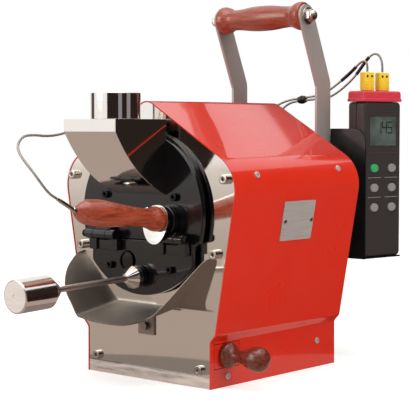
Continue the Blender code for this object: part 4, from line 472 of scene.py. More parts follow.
def turned(points: list[Triple], steps: int = 64, rounding: int = 5) -> Form:
    """Turn a profile whose corners are rounded.

    Args:
        points: The profile's (distance, radius, corner radius).
        steps: Faces round the form.
        rounding: Steps in each corner.

    Returns:
        The closed form.
    """
    corners = [point[:2] for point in points]
    return lathe(rounded(corners, [point[2] for point in points], rounding), steps)


def barrel(
    length: float, radius: float, edges: Point = (0, 0), steps: int = 64, rounding: int = 5,
    bore: float = 0,
) -> Form:
    """Turn a plain barrel, or a ring if it has a bore, with its outer edges rounded."""
    return turned([
        (0, bore, 0), (0, radius, edges[0]), (length, radius, edges[1]), (length, bore, 0)
    ], steps, rounding)


def plate(outlines: list[Path], thickness: float) -> Form:
    """Fill an outline and its holes in local XY, and thicken it along local Z."""
    form = bmesh.new()
    fill(form, drawn(form, outlines))
    grown = bmesh.ops.extrude_face_region(form, geom=form.faces[:], use_keep_orig=True)
    push(form, grown, thickness)
    return closed(form)


def sheet_of(section: Path, depth: float) -> Form:
    """Run an open section in local XY along local Z as a thin skin."""
    form = bmesh.new()
    edges = chain([form.verts.new((*point, 0)) for point in section], form)
    push(form, bmesh.ops.extrude_edge_only(form, edges=edges), depth)
    return form


def loft(rings: list[tuple[Path, float]], holes: list[Path] | None = None) -> Form:
    """Join outlines at rising heights into a skin, and fill the last one.

    Args:
        rings: Outlines with equally many points, each with its height.
        holes: Outlines left open in the last filling; None also fills the first ring.

    Returns:
        The skin.
    """
    form = bmesh.new()
    loops = [drawn(form, [outline], height) for outline, height in rings]
    for near, far in zip(loops, loops[1:]):
        bmesh.ops.bridge_loops(form, edges=near + far)
    fill(form, loops[-1] + drawn(form, holes or [], rings[-1][1]))
    if holes is None:
        fill(form, loops[0])
    return closed(form)


def block(low: Triple, high: Triple) -> Form:
    """Return a box between two opposite corners."""
    low, high = Vector(low), Vector(high)
    form = bmesh.new()
    bmesh.ops.create_cube(form, size=1.0)
    bmesh.ops.scale(form, vec=high - low, verts=form.verts)
    bmesh.ops.translate(form, vec=(low + high) / 2, verts=form.verts)
    return form


def bevel(
    form: Form, edges: Edges, width: float, segments: int, clamp: bool
) -> None:
    """Round some edges of a form."""
    bmesh.ops.bevel(
        form, geom=edges, offset=width, offset_type="OFFSET", segments=segments, profile=0.5,
        affect="EDGES", clamp_overlap=clamp, material=-1,
    )


def soften(form: Form, width: float, segments: int = 3, limit: float = 30.0) -> Form:
    """Round the edges whose faces meet at more than a limit in degrees."""
    sharp = [
        edge for edge in form.edges
        if len(edge.link_faces) == 2 and edge.calc_face_angle(0) > math.radians(limit)
    ]
    bevel(form, sharp, width, segments, True)
    return form


def along(start: Vector | Triple, direction: Vector | Triple) -> Matrix:
    """Return the place whose local Z runs along a direction from a start."""
    turn = UPWARD.rotation_difference(Vector(direction))
    return Matrix.Translation(Vector(start)) @ turn.to_matrix().to_4x4()


def frame_of(across: Vector, up: Vector, out: Vector, start: Vector | Triple) -> Matrix:
    """Return a place from its three directions and its start."""
    columns = Matrix((across, up, out)).transposed()
    return Matrix.Translation(Vector(start)) @ columns.to_4x4()


def facing_front(front_y: float) -> Matrix:
    """Return the place of a form drawn in X and Z that runs back from a depth."""
    return frame_of(ACROSS, UPWARD, BACKWARD, (0, front_y, 0))


def facing_side(start_x: float) -> Matrix:
    """Return the place of a form drawn in Y and Z that runs right from a start."""
    return frame_of(BACKWARD, UPWARD, ACROSS, (start_x, 0, 0))


def rounded(
    corners: Path, radii: list[float], steps: int = 8, ring: bool = False
) -> Path:
    """Return a path whose corners are arcs of given radii."""
    count = len(corners)
    path = []
    for index, corner in enumerate(corners):
        here, radius = Vector(corner), radii[index]
        if radius == 0 or (not ring and index in (0, count - 1)):
            path.append(tuple(here))
            continue
        before = (Vector(corners[index - 1]) - here).normalized()
        after = (Vector(corners[(index + 1) % count]) - here).normalized()
        half = before.angle(after) / 2
        middle = here + (before + after).normalized() * radius / math.sin(half)
        first = here + before * radius / math.tan(half) - middle
        sweep = first.angle_signed(here + after * radius / math.tan(half) - middle)
        for step in range(steps + 1):
            path.append(tuple(middle + Matrix.Rotation(-sweep * step / steps, 2) @ first))
    return path


def offset(path: Path, distance: float) -> Path:
    """Return an open path moved to its left by a distance, mitred."""
    moved = []
    for index, point in enumerate(path):
        here = Vector(point)
        sides = []
        if index > 0:
            sides.append((here - Vector(path[index - 1])).normalized())
        if index < len(path) - 1:
            sides.append((Vector(path[index + 1]) - here).normalized())
        normals = [Vector((-side.y, side.x)) for side in sides]
        middle = sum(normals, Vector((0, 0))).normalized()
        moved.append(tuple(here + middle * distance / middle.dot(normals[0])))
    return moved


def arc(centre: Point, radii: float | Point, first: float, last: float, steps: int) -> Path:
    """Return points along a round or oval arc between two angles in radians."""
    wide, high = radii if isinstance(radii, tuple) else (radii, radii)
    turns = [first + (last - first) * step / steps for step in range(steps + 1)]
    return [(centre[0] + wide * math.cos(t), centre[1] + high * math.sin(t)) for t in turns]


def circle(centre: Point, radii: float | Point, steps: int = 48) -> Path:
    """Return points round a circle or an oval."""
    return arc(centre, radii, 0, 2 * math.pi, steps)[:-1]


def quarter(steps: int) -> Path:
    """Return the sine and cosine at even steps through a quarter turn."""
    turns = [math.pi / 2 * step / steps for step in range(steps + 1)]
    return [(math.sin(turn), math.cos(turn)) for turn in turns]


def rectangle(low: Point, high: Point) -> Path:
    """Return a rectangle's corners."""
    return [low, (high[0], low[1]), high, (low[0], high[1])]


def rounded_ring(low: Point, high: Point, radius: float, steps: int = 4) -> Path:
    """Return a rectangle between two corners, with round corners."""
    return rounded(rectangle(low, high), [radius] * 4, steps, ring=True)


def rounded_box(
    width: float, height: float, radius: float, grow: float = 0.0, centre: Point = (0.0, 0.0)
) -> Path:
    """Return a rectangle with round corners round a centre, grown or shrunk all round."""
    across, up = width / 2 + grow, height / 2 + grow
    ring = rounded_ring((-across, -up), (across, up), max(radius + grow, 0.0002), 6)
    return [(centre[0] + a, centre[1] + b) for a, b in ring]


def smooth_curve(points: Path, steps: int = 6) -> Path:
    """Return fine points along a smooth curve through given ones."""
    places = [Vector(point) for point in points]
    padded = [2 * places[0] - places[1]] + places + [2 * places[-1] - places[-2]]
    fine = []
    for index in range(1, len(padded) - 2):
        before, start, end, after = padded[index - 1:index + 3]
        for step in range(steps):
            share = step / steps
            straight = 2 * start + (end - before) * share
            square = (2 * before - 5 * start + 4 * end - after) * share ** 2
            cube = (3 * start - before - 3 * end + after) * share ** 3
            fine.append(tuple((straight + square + cube) / 2))
    return fine + [tuple(places[-1])]


def swell(shares: Path, length: float) -> Path:
    """Return a smooth lathe profile through radii at shares of a length."""
    return smooth_curve([(share * length, radius) for share, radius in shares])


# ---- pieces


def shown(name: str, data: bpy.types.ID) -> Item:
    """Make an object and put it in the scene."""
    item = bpy.data.objects.new(name, data)
    bpy.context.scene.collection.objects.link(item)
    return item


def shown_form(name: str, form: Form, material: bpy.types.Material) -> Item:
    """Put a form in the scene as an object with a material."""
    mesh = bpy.data.meshes.new(name)
    form.to_mesh(mesh)
    form.free()
    mesh.materials.append(material)
    return shown(name, mesh)


@dataclass
class Piece:
    """A visible piece in the making: its forms, finish, body and the nodes it stands for."""

    name: str
    finish: Finish
    body: Body = Body.CHASSIS
    stands_for: tuple[str, ...] = ()
    mesh: Form = field(default_factory=bmesh.new)

    def add(self, forms: Form | list[Form], place: Matrix | None = None) -> "Piece":
        """Put one or several forms in their place in the piece."""
        for form in forms if isinstance(forms, list) else [forms]:
            if place is not None:
                bmesh.ops.transform(form, matrix=place, verts=form.verts)
                if place.determinant() < 0:
                    bmesh.ops.reverse_faces(form, faces=form.faces)
            holder = bpy.data.meshes.new("form")
            form.to_mesh(holder)
            form.free()
            self.mesh.from_mesh(holder)
            bpy.data.meshes.remove(holder)
        return self

    def done(self, angle: float = 38.0, ride: bool = True) -> Item:
        """Make the piece's object, dress it and let it ride on its body.

        Args:
            angle: Edges that meet at more degrees than this stay sharp.
            ride: False for a piece that rides on no body.

        Returns:
            The object.
        """
        item = shown_form(self.name, self.mesh, self.finish.material())
        item.data.shade_smooth()
        item.data.set_sharp_from_angle(angle=math.radians(angle))
        step = item.modifiers.new("even_normals", "WEIGHTED_NORMAL")
        step.keep_sharp = True
        if ride:
            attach(item, self.body.value)
        if self.stands_for:
            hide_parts(*self.stands_for)
        faces = len(item.data.polygons)
        LOG.info("%s: %d faces, rides on %s", self.name, faces, self.body.value)
        return item


def make(
    name: str, finish: Finish, node: str, form: Form, place: Matrix | None = None,
    body: Body = Body.CHASSIS, angle: float = 38.0,
) -> Item:
    """Make a piece of one form, which stands for a node if one is named."""
    return Piece(name, finish, body, (node,) if node else ()).add(form, place).done(angle)


@dataclass(frozen=True)
class Head:
    """Head of a screw or bolt that stands on local Z = 0, with a socket or a cross."""

    radius: float
    reach: float
    socket: float = 0.0
    depth: float = 0.002

    def forms(self) -> list[Form]:
        """Return a cap head, or a pan head with a cross recess if it has no socket."""
        depth = self.depth if self.socket else self.reach * 0.6
        ring = circle((0, 0), self.radius, 32 if self.socket else 28)
        hole = circle((0, 0), self.socket / 2, 6) if self.socket else self.cross()
        core, rim = plate([ring], self.reach - depth), plate([ring, hole], depth)
        if self.socket:
            soften(rim, self.radius * 0.10, 2, 50)
        else:
            outer = [
                edge for edge in rim.edges
                if all(vert.co.z > depth / 2 and vert.co.xy.length > self.radius * 0.9
                       for vert in edge.verts)
            ]
            bevel(rim, outer, depth * 0.8, 3, False)
        bmesh.ops.translate(rim, vec=(0, 0, self.reach - depth), verts=rim.verts)
        return [core, rim]

    def cross(self) -> Path:
        """Return the outline of the cross recess."""
        arm, half = self.radius * 0.55, self.radius * 0.14
        return [
            (half, half), (half, arm), (-half, arm), (-half, half), (-arm, half), (-arm, -half),
            (-half, -half), (-half, -arm), (half, -arm), (half, -half), (arm, -half), (arm, half),
        ]


def fixings(
    name: str, finish: Finish, heads: list[tuple[Head, Matrix]], body: Body = Body.CHASSIS
) -> None:
    """Make one piece of a set of heads, each with its place."""
    piece = Piece(name, finish, body)
    for head, place in heads:
        piece.add(head.forms(), place)
    piece.done(angle=30)


def disc_studs(name: str, across: float, height: float, body: Body) -> None:
    """Set a pair of socket-head bolts in the disc's face or the door's."""
    head = Head(0.004, 0.004, 0.0042)
    places = [along((side * across, DISC_FRONT, height), FORWARD) for side in SIDES]
    fixings(name, DARK_STEEL, [(head, place) for place in places], body)


def dress_nodes(finish: Finish, *names: str) -> None:
    """Give carried-over CAD nodes a finish."""
    for name in names:
        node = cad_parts[name]
        node.data.materials.clear()
        node.data.materials.append(finish.material())
        LOG.info("%s: kept, %s", name, finish.name)


# ---- camera and light


@dataclass
class Studio:
    """White floor and soft light, and the camera that took the photograph."""

    azimuth: float = math.radians(41.073)
    elevation: float = math.radians(3.131)
    focal_pixels: float = 1358.9
    image_width: int = 409
    sensor: float = 36.0
    centre: Triple = (0.05928, 0.18388, -1.40014)
    ahead: float = -0.012
    floor_radius: float = 8.0
    # Painted reflection: colours of the table that glossy rays see, darker near the object and
    # paler far off.
    mirrored_table_colours: tuple[str, str] = ("b3a39a", "ddd4cd")
    mirrored_table_fade: Point = (0.8, 5.0)
    card_centre: Point = (0.0, 0.09)

    def camera(self) -> None:
        """Set up the camera, solved from the photograph's edges."""
        turn, drop = self.azimuth, self.elevation
        right = Vector((math.cos(turn), math.sin(turn), 0))
        view = Vector((
            -math.sin(turn) * math.cos(drop), math.cos(turn) * math.cos(drop), -math.sin(drop)
        ))
        up = right.cross(view)
        place = right * self.centre[0] + up * self.centre[1] + view * self.centre[2]
        place.y += self.ahead
        lens = bpy.data.cameras.new("camera")
        lens.sensor_width = self.sensor
        lens.lens = self.focal_pixels * self.sensor / self.image_width
        lens.clip_end = 60.0
        eye = shown("camera", lens)
        eye.matrix_world = frame_of(right, up, -view, place)
        bpy.context.scene.camera = eye

    def area(
        self, name: str, place: Triple, aim: Triple, size: Point, power: float, colour: str,
        mirrored: bool = True,
    ) -> None:
        """Hang one soft lamp and aim it.

        Args:
            name: The lamp's name.
            place: Where it hangs.
            aim: The point that it faces.
            size: Its width and height.
            power: Watts.
            colour: The light's sRGB hex.
            mirrored: False keeps it out of reflections.
        """
        lamp = bpy.data.lights.new(name, "AREA")
        lamp.shape = "RECTANGLE"
        lamp.size, lamp.size_y = size
        lamp.energy = power
        lamp.color = linear(colour)[:3]
        item = shown(name, lamp)
        item.location = place
        item.rotation_euler = (Vector(aim) - Vector(place)).to_track_quat("-Z", "Y").to_euler()
        item.visible_glossy = mirrored

    def world(self) -> None:
        """White behind the object and in its reflections, softer as a light."""
        sky = bpy.data.worlds.new("studio")
        bpy.context.scene.world = sky
        skin = Nodes(sky, "Background")
        rays = skin.add("LightPath").outputs
        seen = rays["Is Camera Ray"]
        for key in ("Is Glossy Ray", "Is Transmission Ray"):
            links = {0: seen, 1: rays[key]}
            seen = skin.add("Math", links=links, operation="MAXIMUM").outputs[0]
        skin.shade({"Color": linear("ffffff")})
        skin.feed(skin.spread(seen, (0, 1), (0.62, 1.0)), "Strength")

    def floor(self) -> None:
        """Lay a plain white floor with the object's shadow; steel mirrors a painted reflection of a
        table.
        """
        paper = bpy.data.materials.new("white_paper_floor")
        skin = Nodes(paper)
        skin.shade({"Base Color": linear("f0efed"), "Roughness": 0.9})
        rays = skin.add("LightPath").outputs
        lift = skin.add(
            "Emission", {"Color": linear("ffffff")},
            {"Strength": skin.spread(rays["Is Camera Ray"], (0, 1), (0.0, 0.45))},
        )
        both = skin.add("AddShader", links={0: skin.shader.outputs[0], 1: lift.outputs[0]})
        # Painted reflection: glossy rays see an emitting table, darker near the object and paler
        # far off.
        place = skin.add("TexCoord").outputs["Object"]
        distance = skin.add("VectorMath", links={0: place}, operation="LENGTH")
        far = skin.spread(distance.outputs["Value"], self.mirrored_table_fade)
        table = skin.add("Emission", links={"Color": skin.mixed(far, *self.mirrored_table_colours)})
        skin.show(skin.add("MixShader", links={
            0: rays["Is Glossy Ray"], 1: both.outputs[0], 2: table.outputs[0]
        }))
        form = bmesh.new()
        bmesh.ops.create_circle(form, cap_ends=True, segments=96, radius=self.floor_radius)
        shown_form("floor", form, paper)

    def card(self, name: str, turn: Point, rings: tuple[Point, Point], colour: str) -> None:
        """Stand a curved card, or lay one, that only reflections see.

        Args:
            name: The card's name.
            turn: Its first and last direction, in degrees from X towards Y.
            rings: Its lower and upper edge, each as (distance, height).
            colour: The sRGB hex that it reflects as.
        """
        form = bmesh.new()
        edges = []
        for distance, height in rings:
            path = arc(self.card_centre, distance, *(math.radians(side) for side in turn), 48)
            edges += chain([form.verts.new((*point, height)) for point in path], form)
        bmesh.ops.bridge_loops(form, edges=edges)
        paper = bpy.data.materials.new(name)
        skin = Nodes(paper)
        skin.show(skin.add("Emission", {"Color": linear(colour)}))
        item = shown_form(name, form, paper)
        item.visible_camera = item.visible_diffuse = item.visible_shadow = False
        item.visible_transmission = item.visible_volume_scatter = False

    def cards(self) -> None:
        """Set reflection-only cards: the dark room right of and behind the camera, with pale strips
        in it, and a dark table with a ring of painted shadow close in front.
        """
        tall = ((2.4, 0.0), (2.4, 1.5))
        self.card("dark_right", (-82, 132), ((2.6, 0.0), (2.6, 1.9)), "2b2320")
        self.card("dark_table", (-40, 128), ((0.17, 0.004), (2.6, 0.004)), "2b1c18")
        # Painted shadow: a darker ring of table close in front, seen only in reflections.
        self.card("table_shade", (-165, -75), ((0.10, 0.003), (0.215, 0.003)), "8a8079")
        self.card("grey_strip_left", (-176, -150), tall, "5a5350")
        self.card("pale_strip_front", (-34, -18), tall, "8f9098")
        self.card("pale_strip_right", (5, 24), tall, "958f91")

    def build(self) -> None:
        """Set up camera, lamps, world, floor and cards."""
        self.camera()
        self.area("overhead", (0.2, -0.1, 1.9), (0, 0.1, 0.15), (1.6, 1.6), 17.0, "fffaf4")
        self.area("from_front", (-0.9, -1.7, 0.9), (0, 0, 0.15), (1.0, 1.2), 12.0, "fffaf4")
        self.area("from_right", (2.0, 0.3, 0.9), (0, 0.1, 0.15), (1.0, 1.2), 14.0, "ffffff", False)
        self.world()
        self.floor()
        self.cards()


# ---- leads


@dataclass
class Leads:
    """Two braided thermocouple leads that cross the roof to the thermometer."""

    radius: float = 0.00125
    spacing: float = 0.003
    lift: float = 0.0006
    easing: int = 5
    sides: int = 12
    roof_fall: float = 0.59016
    sleeve_radius: float = 0.0019
    sleeve_length: float = 0.024
    bead_middle: Vector = field(default_factory=lambda: Vector((0.014, 0.233, 0.291)))
    bead_run: Vector = field(default_factory=lambda: Vector((0.95, 0.10, 0.12)).normalized())
    bead_length: float = 0.0095
    bead_radius: float = 0.0042
    bead_reach: float = 0.018
    gland: Point = (-0.020, 0.263)
    inset: float = 0.0006
    straight: float = 0.0106

    def rest(self, across: float) -> float:
        """Return the height at which a lead lies on the roof."""
        above = (self.radius + self.lift) * math.hypot(1, self.roof_fall)
        return Housing.ridge_z - self.roof_fall * abs(across) + above

    def plug_end(self, side: int) -> list[Vector]:
        """Return the straight last stretch of a lead, down into its plug."""
        top = Thermometer.place() @ Vector((
            Thermometer.width / 2 + side * Thermometer.plugs_apart, Thermometer.depth / 2,
            Thermometer.plug_top,
        ))
        return [top + UPWARD * self.straight, top + UPWARD * self.inset]

    def bead_ends(self, side: int) -> list[Vector]:
        """Return the straight run of a lead through the bead, above or below its middle."""
        half = self.bead_run * self.bead_reach
        shift = Vector((0, 0, side * (self.radius + self.lift)))
        return [self.bead_middle - half + shift, self.bead_middle + half + shift]

    def probe_route(self) -> list[Vector | Triple]:
        """Return the route of the sampler's lead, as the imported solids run."""
        start, axis = Sampler.sleeve_end(), Sampler.sleeve_axis()
        roof = ((-0.058, -0.002), (-0.059, 0.058), (-0.059, 0.128), (-0.056, 0.185))
        return [
            start + axis * self.inset, start + axis * self.straight,
            (0.030, -0.191, 0.217), (0.010, -0.193, 0.238), (-0.008, -0.172, 0.250),
            (-0.020, -0.147, 0.252), (-0.0335, -0.120, 0.251), (-0.046, -0.092, 0.252),
            (-0.054, -0.057, 0.257), (-0.057, -0.026, self.rest(0.057) + 0.001),
            *((across, depth, self.rest(across)) for across, depth in roof),
            (-0.042, 0.211, 0.274), (-0.020, 0.227, 0.284), *self.bead_ends(1),
            (0.046, 0.238, 0.300), (0.072, 0.241, 0.318), (0.092, 0.242, 0.3345),
            *self.plug_end(-1),
        ]

    def rear_route(self) -> list[Vector | Triple]:
        """Return the route of the drum's lead, from its gland to its plug."""
        across, height = self.gland
        end = self.plug_end(1)
        return [
            (across, 0.2048, height), (across, 0.2148, height), (-0.017, 0.225, 0.271),
            *self.bead_ends(-1), (0.048, 0.243, 0.2945), (0.070, 0.253, 0.314),
            (0.088, 0.261, 0.340), end[0] + Vector((-0.006, 0.001, 0.0114)), *end,
        ]

    def even(self, route: list[Vector | Triple]) -> list[Vector]:
        """Return evenly spaced points along a smooth curve through a route."""
        fine = [Vector(point) for point in smooth_curve(route, 24)]
        marks = [0.0]
        for near, far in zip(fine, fine[1:]):
            marks.append(marks[-1] + (far - near).length)
        count = max(2, round(marks[-1] / self.spacing))
        points, index = [], 0
        for step in range(count + 1):
            goal = marks[-1] * step / count
            while index < len(marks) - 2 and marks[index + 1] < goal:
                index += 1
            share = (goal - marks[index]) / max(marks[index + 1] - marks[index], 1e-9)
            points.append(fine[index].lerp(fine[index + 1], min(share, 1.0)))
        for _ in range(self.easing):
            inner = [
                near.lerp(far, 0.5).lerp(point, 0.5)
                for near, point, far in zip(points, points[1:], points[2:])
            ]
            points = [points[0], *inner, points[-1]]
        return points

    def tube(self, points: list[Vector], radius: float) -> Form:
        """Return a tube along points, with its run and turn as a UV map in metres."""
        form = bmesh.new()
        run = form.verts.layers.float.new("run")
        turn = form.verts.layers.float.new("turn")
        loops, travelled, side = [], 0.0, None
        for index, point in enumerate(points):
            before, after = points[max(index - 1, 0)], points[min(index + 1, len(points) - 1)]
            heading = (after - before).normalized()
            side = heading.orthogonal() if side is None else side - heading * side.dot(heading)
            side.normalize()
            place = frame_of(side, heading.cross(side), heading, point)
            made = bmesh.ops.create_circle(
                form, cap_ends=index in (0, len(points) - 1), segments=self.sides, radius=radius
            )
            for number, vert in enumerate(made["verts"]):
                vert[run], vert[turn] = travelled, number / self.sides
            bmesh.ops.transform(form, matrix=place, verts=made["verts"])
            loops.append(list({edge for vert in made["verts"] for edge in vert.link_edges}))
            travelled += (after - point).length
        for near, far in zip(loops, loops[1:]):
            bmesh.ops.bridge_loops(form, edges=near + far)
        bmesh.ops.recalc_face_normals(form, faces=form.faces)
        marks = form.loops.layers.uv.new("run")
        for face in form.faces:
            turns = [corner.vert[turn] for corner in face.loops]
            wraps = max(turns) - min(turns) > 0.5
            for corner, share in zip(face.loops, turns):
                share += 1.0 if wraps and share < 0.5 else 0.0
                corner[marks].uv = (corner.vert[run], share * 2 * math.pi * radius)
        return form

    def sleeve(self, name: str, points: list[Vector], far_back: float) -> Item:
        """Shrink a sleeve over a stretch of a lead that ends near its plug."""
        last = len(points) - 1 - round(far_back / self.spacing)
        first = last - round(self.sleeve_length / self.spacing)
        form = self.tube(points[first:last + 1], self.sleeve_radius)
        return Piece(name, SLEEVING).add(form).done()

    def build(self) -> None:
        """Make both leads, their sleeves, the bead and the gland."""
        probe, rear = self.even(self.probe_route()), self.even(self.rear_route())
        loop = Piece("probe_lead", BRAID, Body.SAMPLER, ("lead_front_loop", "lead_front_run"))
        lead = loop.add(self.tube(probe, self.radius)).done(ride=False)
        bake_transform(lead)
        drum_lead = Piece("drum_lead", BRAID, stands_for=("lead_rear",)).add(
            self.tube(rear, self.radius)
        ).done()
        sleeves = (
            self.sleeve("probe_lead_sleeve", probe, 0.030),
            self.sleeve("drum_lead_sleeve", rear, 0.036),
        )
        plugs = Thermometer().plugs()
        self.bead()
        across, height = self.gland
        make("gland", SATIN, "lead_gland", turned([
            (0.0000, 0.0019, 0), (0.0000, 0.0050, 0), (0.0018, 0.0050, 0),
            (0.0018, 0.0072, 0.0004), (0.0043, 0.0072, 0.0006), (0.0047, 0.0050, 0.0004),
            (0.0100, 0.0038, 0.0010), (0.0110, 0.0019, 0),
        ], 40), along((across, 0.1932, height), BACKWARD))

    def bead(self) -> None:
        """Mould the bead that keeps both leads together behind the ridge."""
        length = self.bead_length
        shares = (
            (0.0, 0.86, 0.0012), (0.14, 1, 0.003), (0.44, 1, 0.0015), (0.5, 0.80, 0.0012),
            (0.56, 1, 0.0015), (0.86, 1, 0.003), (1, 0.86, 0.0012),
        )
        form = turned([
            (0.0, 0.0036, 0),
            *((run * length, wide * self.bead_radius, edge) for run, wide, edge in shares),
            (length, 0.0036, 0),
        ], 40)
        start = self.bead_middle - self.bead_run * length / 2
        make("lead_clip", SLEEVING, "lead_bead", form, along(start, self.bead_run))


# ---- housing and its plates


@dataclass
class Housing:
    """One bent and painted sheet, open below and at both ends."""

    sheet: float = 0.0012
    base_half: float = 0.0864
    base_wall: float = 0.047
    kink_half: float = 0.0930
    kink_z: float = 0.054
    shoulder_half: float = 0.122
    shoulder_z: float = 0.217
    shoulder_radius: float = 0.038
    ridge_z: float = 0.289
    ridge_radius: float = 0.016
    bend_radius: float = 0.004
    depth: float = 0.209
    opening_y: Point = (-0.0065, 0.0325)
    opening_z: Point = (0.019, 0.0445)
    inside: Vector = field(default_factory=lambda: Vector((0, 0.09, 0.15)))
    screw: Head = Head(0.0034, 0.0016)

    def path(self, foot: float = 0.0) -> Path:
        """Return the sheet's outer path, from the left foot over to the right one."""
        right = [
            (self.shoulder_half, self.shoulder_z), (self.kink_half, self.kink_z),
            (self.base_half, self.base_wall), (self.base_half, foot),
        ]
        left = [(-across, up) for across, up in right[::-1]]
        bends = [0, self.bend_radius, self.bend_radius, self.shoulder_radius]
        corners = left + [(0, self.ridge_z)] + right
        return rounded(corners, bends + [self.ridge_radius] + bends[::-1], 12)

    def wall_half(self, height: float) -> float:
        """Return the flared side's outer half width at a height."""
        share = (height - self.kink_z) / (self.shoulder_z - self.kink_z)
        return self.kink_half + share * (self.shoulder_half - self.kink_half)

    def shoulder(self, height: float) -> tuple[float, Vector]:
        """Return the right side's half width and outward direction at a height."""
        path = [point for point in self.path() if point[0] > 0]
        for near, far in zip(path, path[1:]):
            if far[1] <= height <= near[1]:
                share = (near[1] - height) / (near[1] - far[1])
                run = (Vector(far) - Vector(near)).normalized()
                return near[0] + share * (far[0] - near[0]), Vector((-run.y, run.x))
        raise ValueError(f"no side at {height}")

    def lean(self) -> Vector:
        """Return the outward direction of the right side."""
        rise, run = self.shoulder_z - self.kink_z, self.shoulder_half - self.kink_half
        return Vector((rise, 0, -run)).normalized()

    def shell(self) -> None:
        """Bend the sheet, with the drawer's opening in its right base wall."""
        form = sheet_of(self.path(), self.depth)
        bmesh.ops.transform(form, matrix=facing_front(FRONT_Y), verts=form.verts)
        cuts = [((0, y, 0), BACKWARD) for y in self.opening_y]
        cuts += [((0, 0, z), UPWARD) for z in self.opening_z]
        for place, normal in cuts:
            everything = form.verts[:] + form.edges[:] + form.faces[:]
            bmesh.ops.bisect_plane(form, geom=everything, plane_co=place, plane_no=normal)
        gone = []
        for face in form.faces:
            middle = face.calc_center_median()
            beside = self.opening_y[0] < middle.y < self.opening_y[1]
            level = self.opening_z[0] < middle.z < self.opening_z[1]
            if middle.x > self.base_half - self.sheet and beside and level:
                gone.append(face)
        bmesh.ops.delete(form, geom=gone, context="FACES")
        for face in form.faces:
            if (face.calc_center_median() - self.inside).dot(face.normal) < 0:
                face.normal_flip()
        bmesh.ops.solidify(form, geom=form.faces[:], thickness=self.sheet)
        piece = Piece("painted_housing", RED, stands_for=("housing_shell",))
        piece.add(form).done(angle=30)

    def screws(self) -> None:
        """Drive the sheet's cross-head screws into its sides."""
        places = []
        for side in SIDES:
            for depth, height in ((0.025, 0.2125), (0.164, 0.2156)):
                across, out = self.shoulder(height)
                places.append(along((side * across, depth, height), (side * out.x, 0, out.y)))
            for depth, height in ((0.014, 0.0105), (0.164, 0.0286)):
                places.append(along((side * self.base_half, depth, height), ACROSS * side))
        fixings("housing_screws", BLANK, [(self.screw, place) for place in places])

    def build(self) -> None:
        """Make the housing and its screws."""
        self.shell()
        self.screws()


@dataclass
class EndPlates:
    """Mirror plate with the drum's mouth in front, plain plate behind, and two rails."""

    housing: Housing
    thick: float = 0.0032
    mouth_radius: float = 0.0735
    ring_radius: float = 0.078
    ring_y: Point = (-0.0152, -0.0115)
    foot: float = 0.0127
    bolt_radius: float = 0.0048
    socket: float = 0.0042
    socket_depth: float = 0.003
    bolts: tuple = ((0.1061, 0.209, 0.0058), (0.0929, 0.135, 0.0058), (0.0719, 0.018, 0.0040))

    def build(self) -> None:
        """Cut the mirror plate, set its bolts, turn the mouth's ring and dress the rails."""
        outline = offset(self.housing.path(self.foot), -self.housing.sheet - GAP)
        form = plate([outline, circle((0, SHAFT_Z), self.mouth_radius, 96)], self.thick)
        make(
            "mirror_plate", MIRROR, "front_plate", soften(form, 0.0002, 2, 60),
            facing_front(PLATE_FRONT),
        )
        heads = []
        for across, height, reach in self.bolts:
            head = Head(self.bolt_radius, reach, self.socket, min(self.socket_depth, reach / 2))
            for side in SIDES:
                heads.append((head, along((side * across, PLATE_FRONT, height), FORWARD)))
        fixings("plate_bolts", SHINE, heads)
        low, high = self.ring_y
        ring = barrel(high - low, self.ring_radius, (0.0004, 0.0004), 128, 3, self.mouth_radius)
        make("standing_ring", BLACK, "mouth_ring", ring, along((0, low, SHAFT_Z), BACKWARD))
        dress_nodes(RAIL, "base_rail_front")
        dress_nodes(MIRROR, "base_rail_rear", "rear_plate")


@dataclass
class FrontDisc:
    """Black disc with the hopper's feed, the sampler's bush and the small port."""

    radius: float = 0.0835
    middle_z: float = 0.1715
    seam_z: float = 0.1453
    feed_low: Point = (-0.0336, 0.1942)
    feed_high: Point = (0.0336, 0.246)
    bush: Point = (0.0387, 0.1663)
    bush_radius: float = 0.0113
    port: Point = (-0.037, 0.162)
    port_radius: float = 0.0048

    def build(self) -> None:
        """Cut the disc, set its studs and turn the polished plug of its port."""
        corner = math.asin((self.seam_z - self.middle_z) / self.radius)
        outlines = [
            arc((0, self.middle_z), self.radius, corner, math.pi - corner, 110),
            rectangle(self.feed_low, self.feed_high), circle(self.port, self.port_radius, 32),
            circle(self.bush, self.bush_radius, 48),
        ]
        make(
            "upper_disc", BLACK, "upper_front_disc",
            soften(plate(outlines, DISC_THICK), 0.0009, 3, 60), facing_front(DISC_FRONT),
        )
        disc_studs("disc_studs", 0.048, 0.190, Body.CHASSIS)
        make("port_button", MIRROR, "port_plug", turned([
            (0, 0, 0), (0, 0.0045, 0.0003), (0.0058, 0.0045, 0), (0.0058, 0.0072, 0.0004),
            (0.0089, 0.0072, 0.0016), (0.0103, 0.0050, 0.0016), (0.0103, 0, 0),
        ]), along((self.port[0], DISC_BACK, self.port[1]), FORWARD))


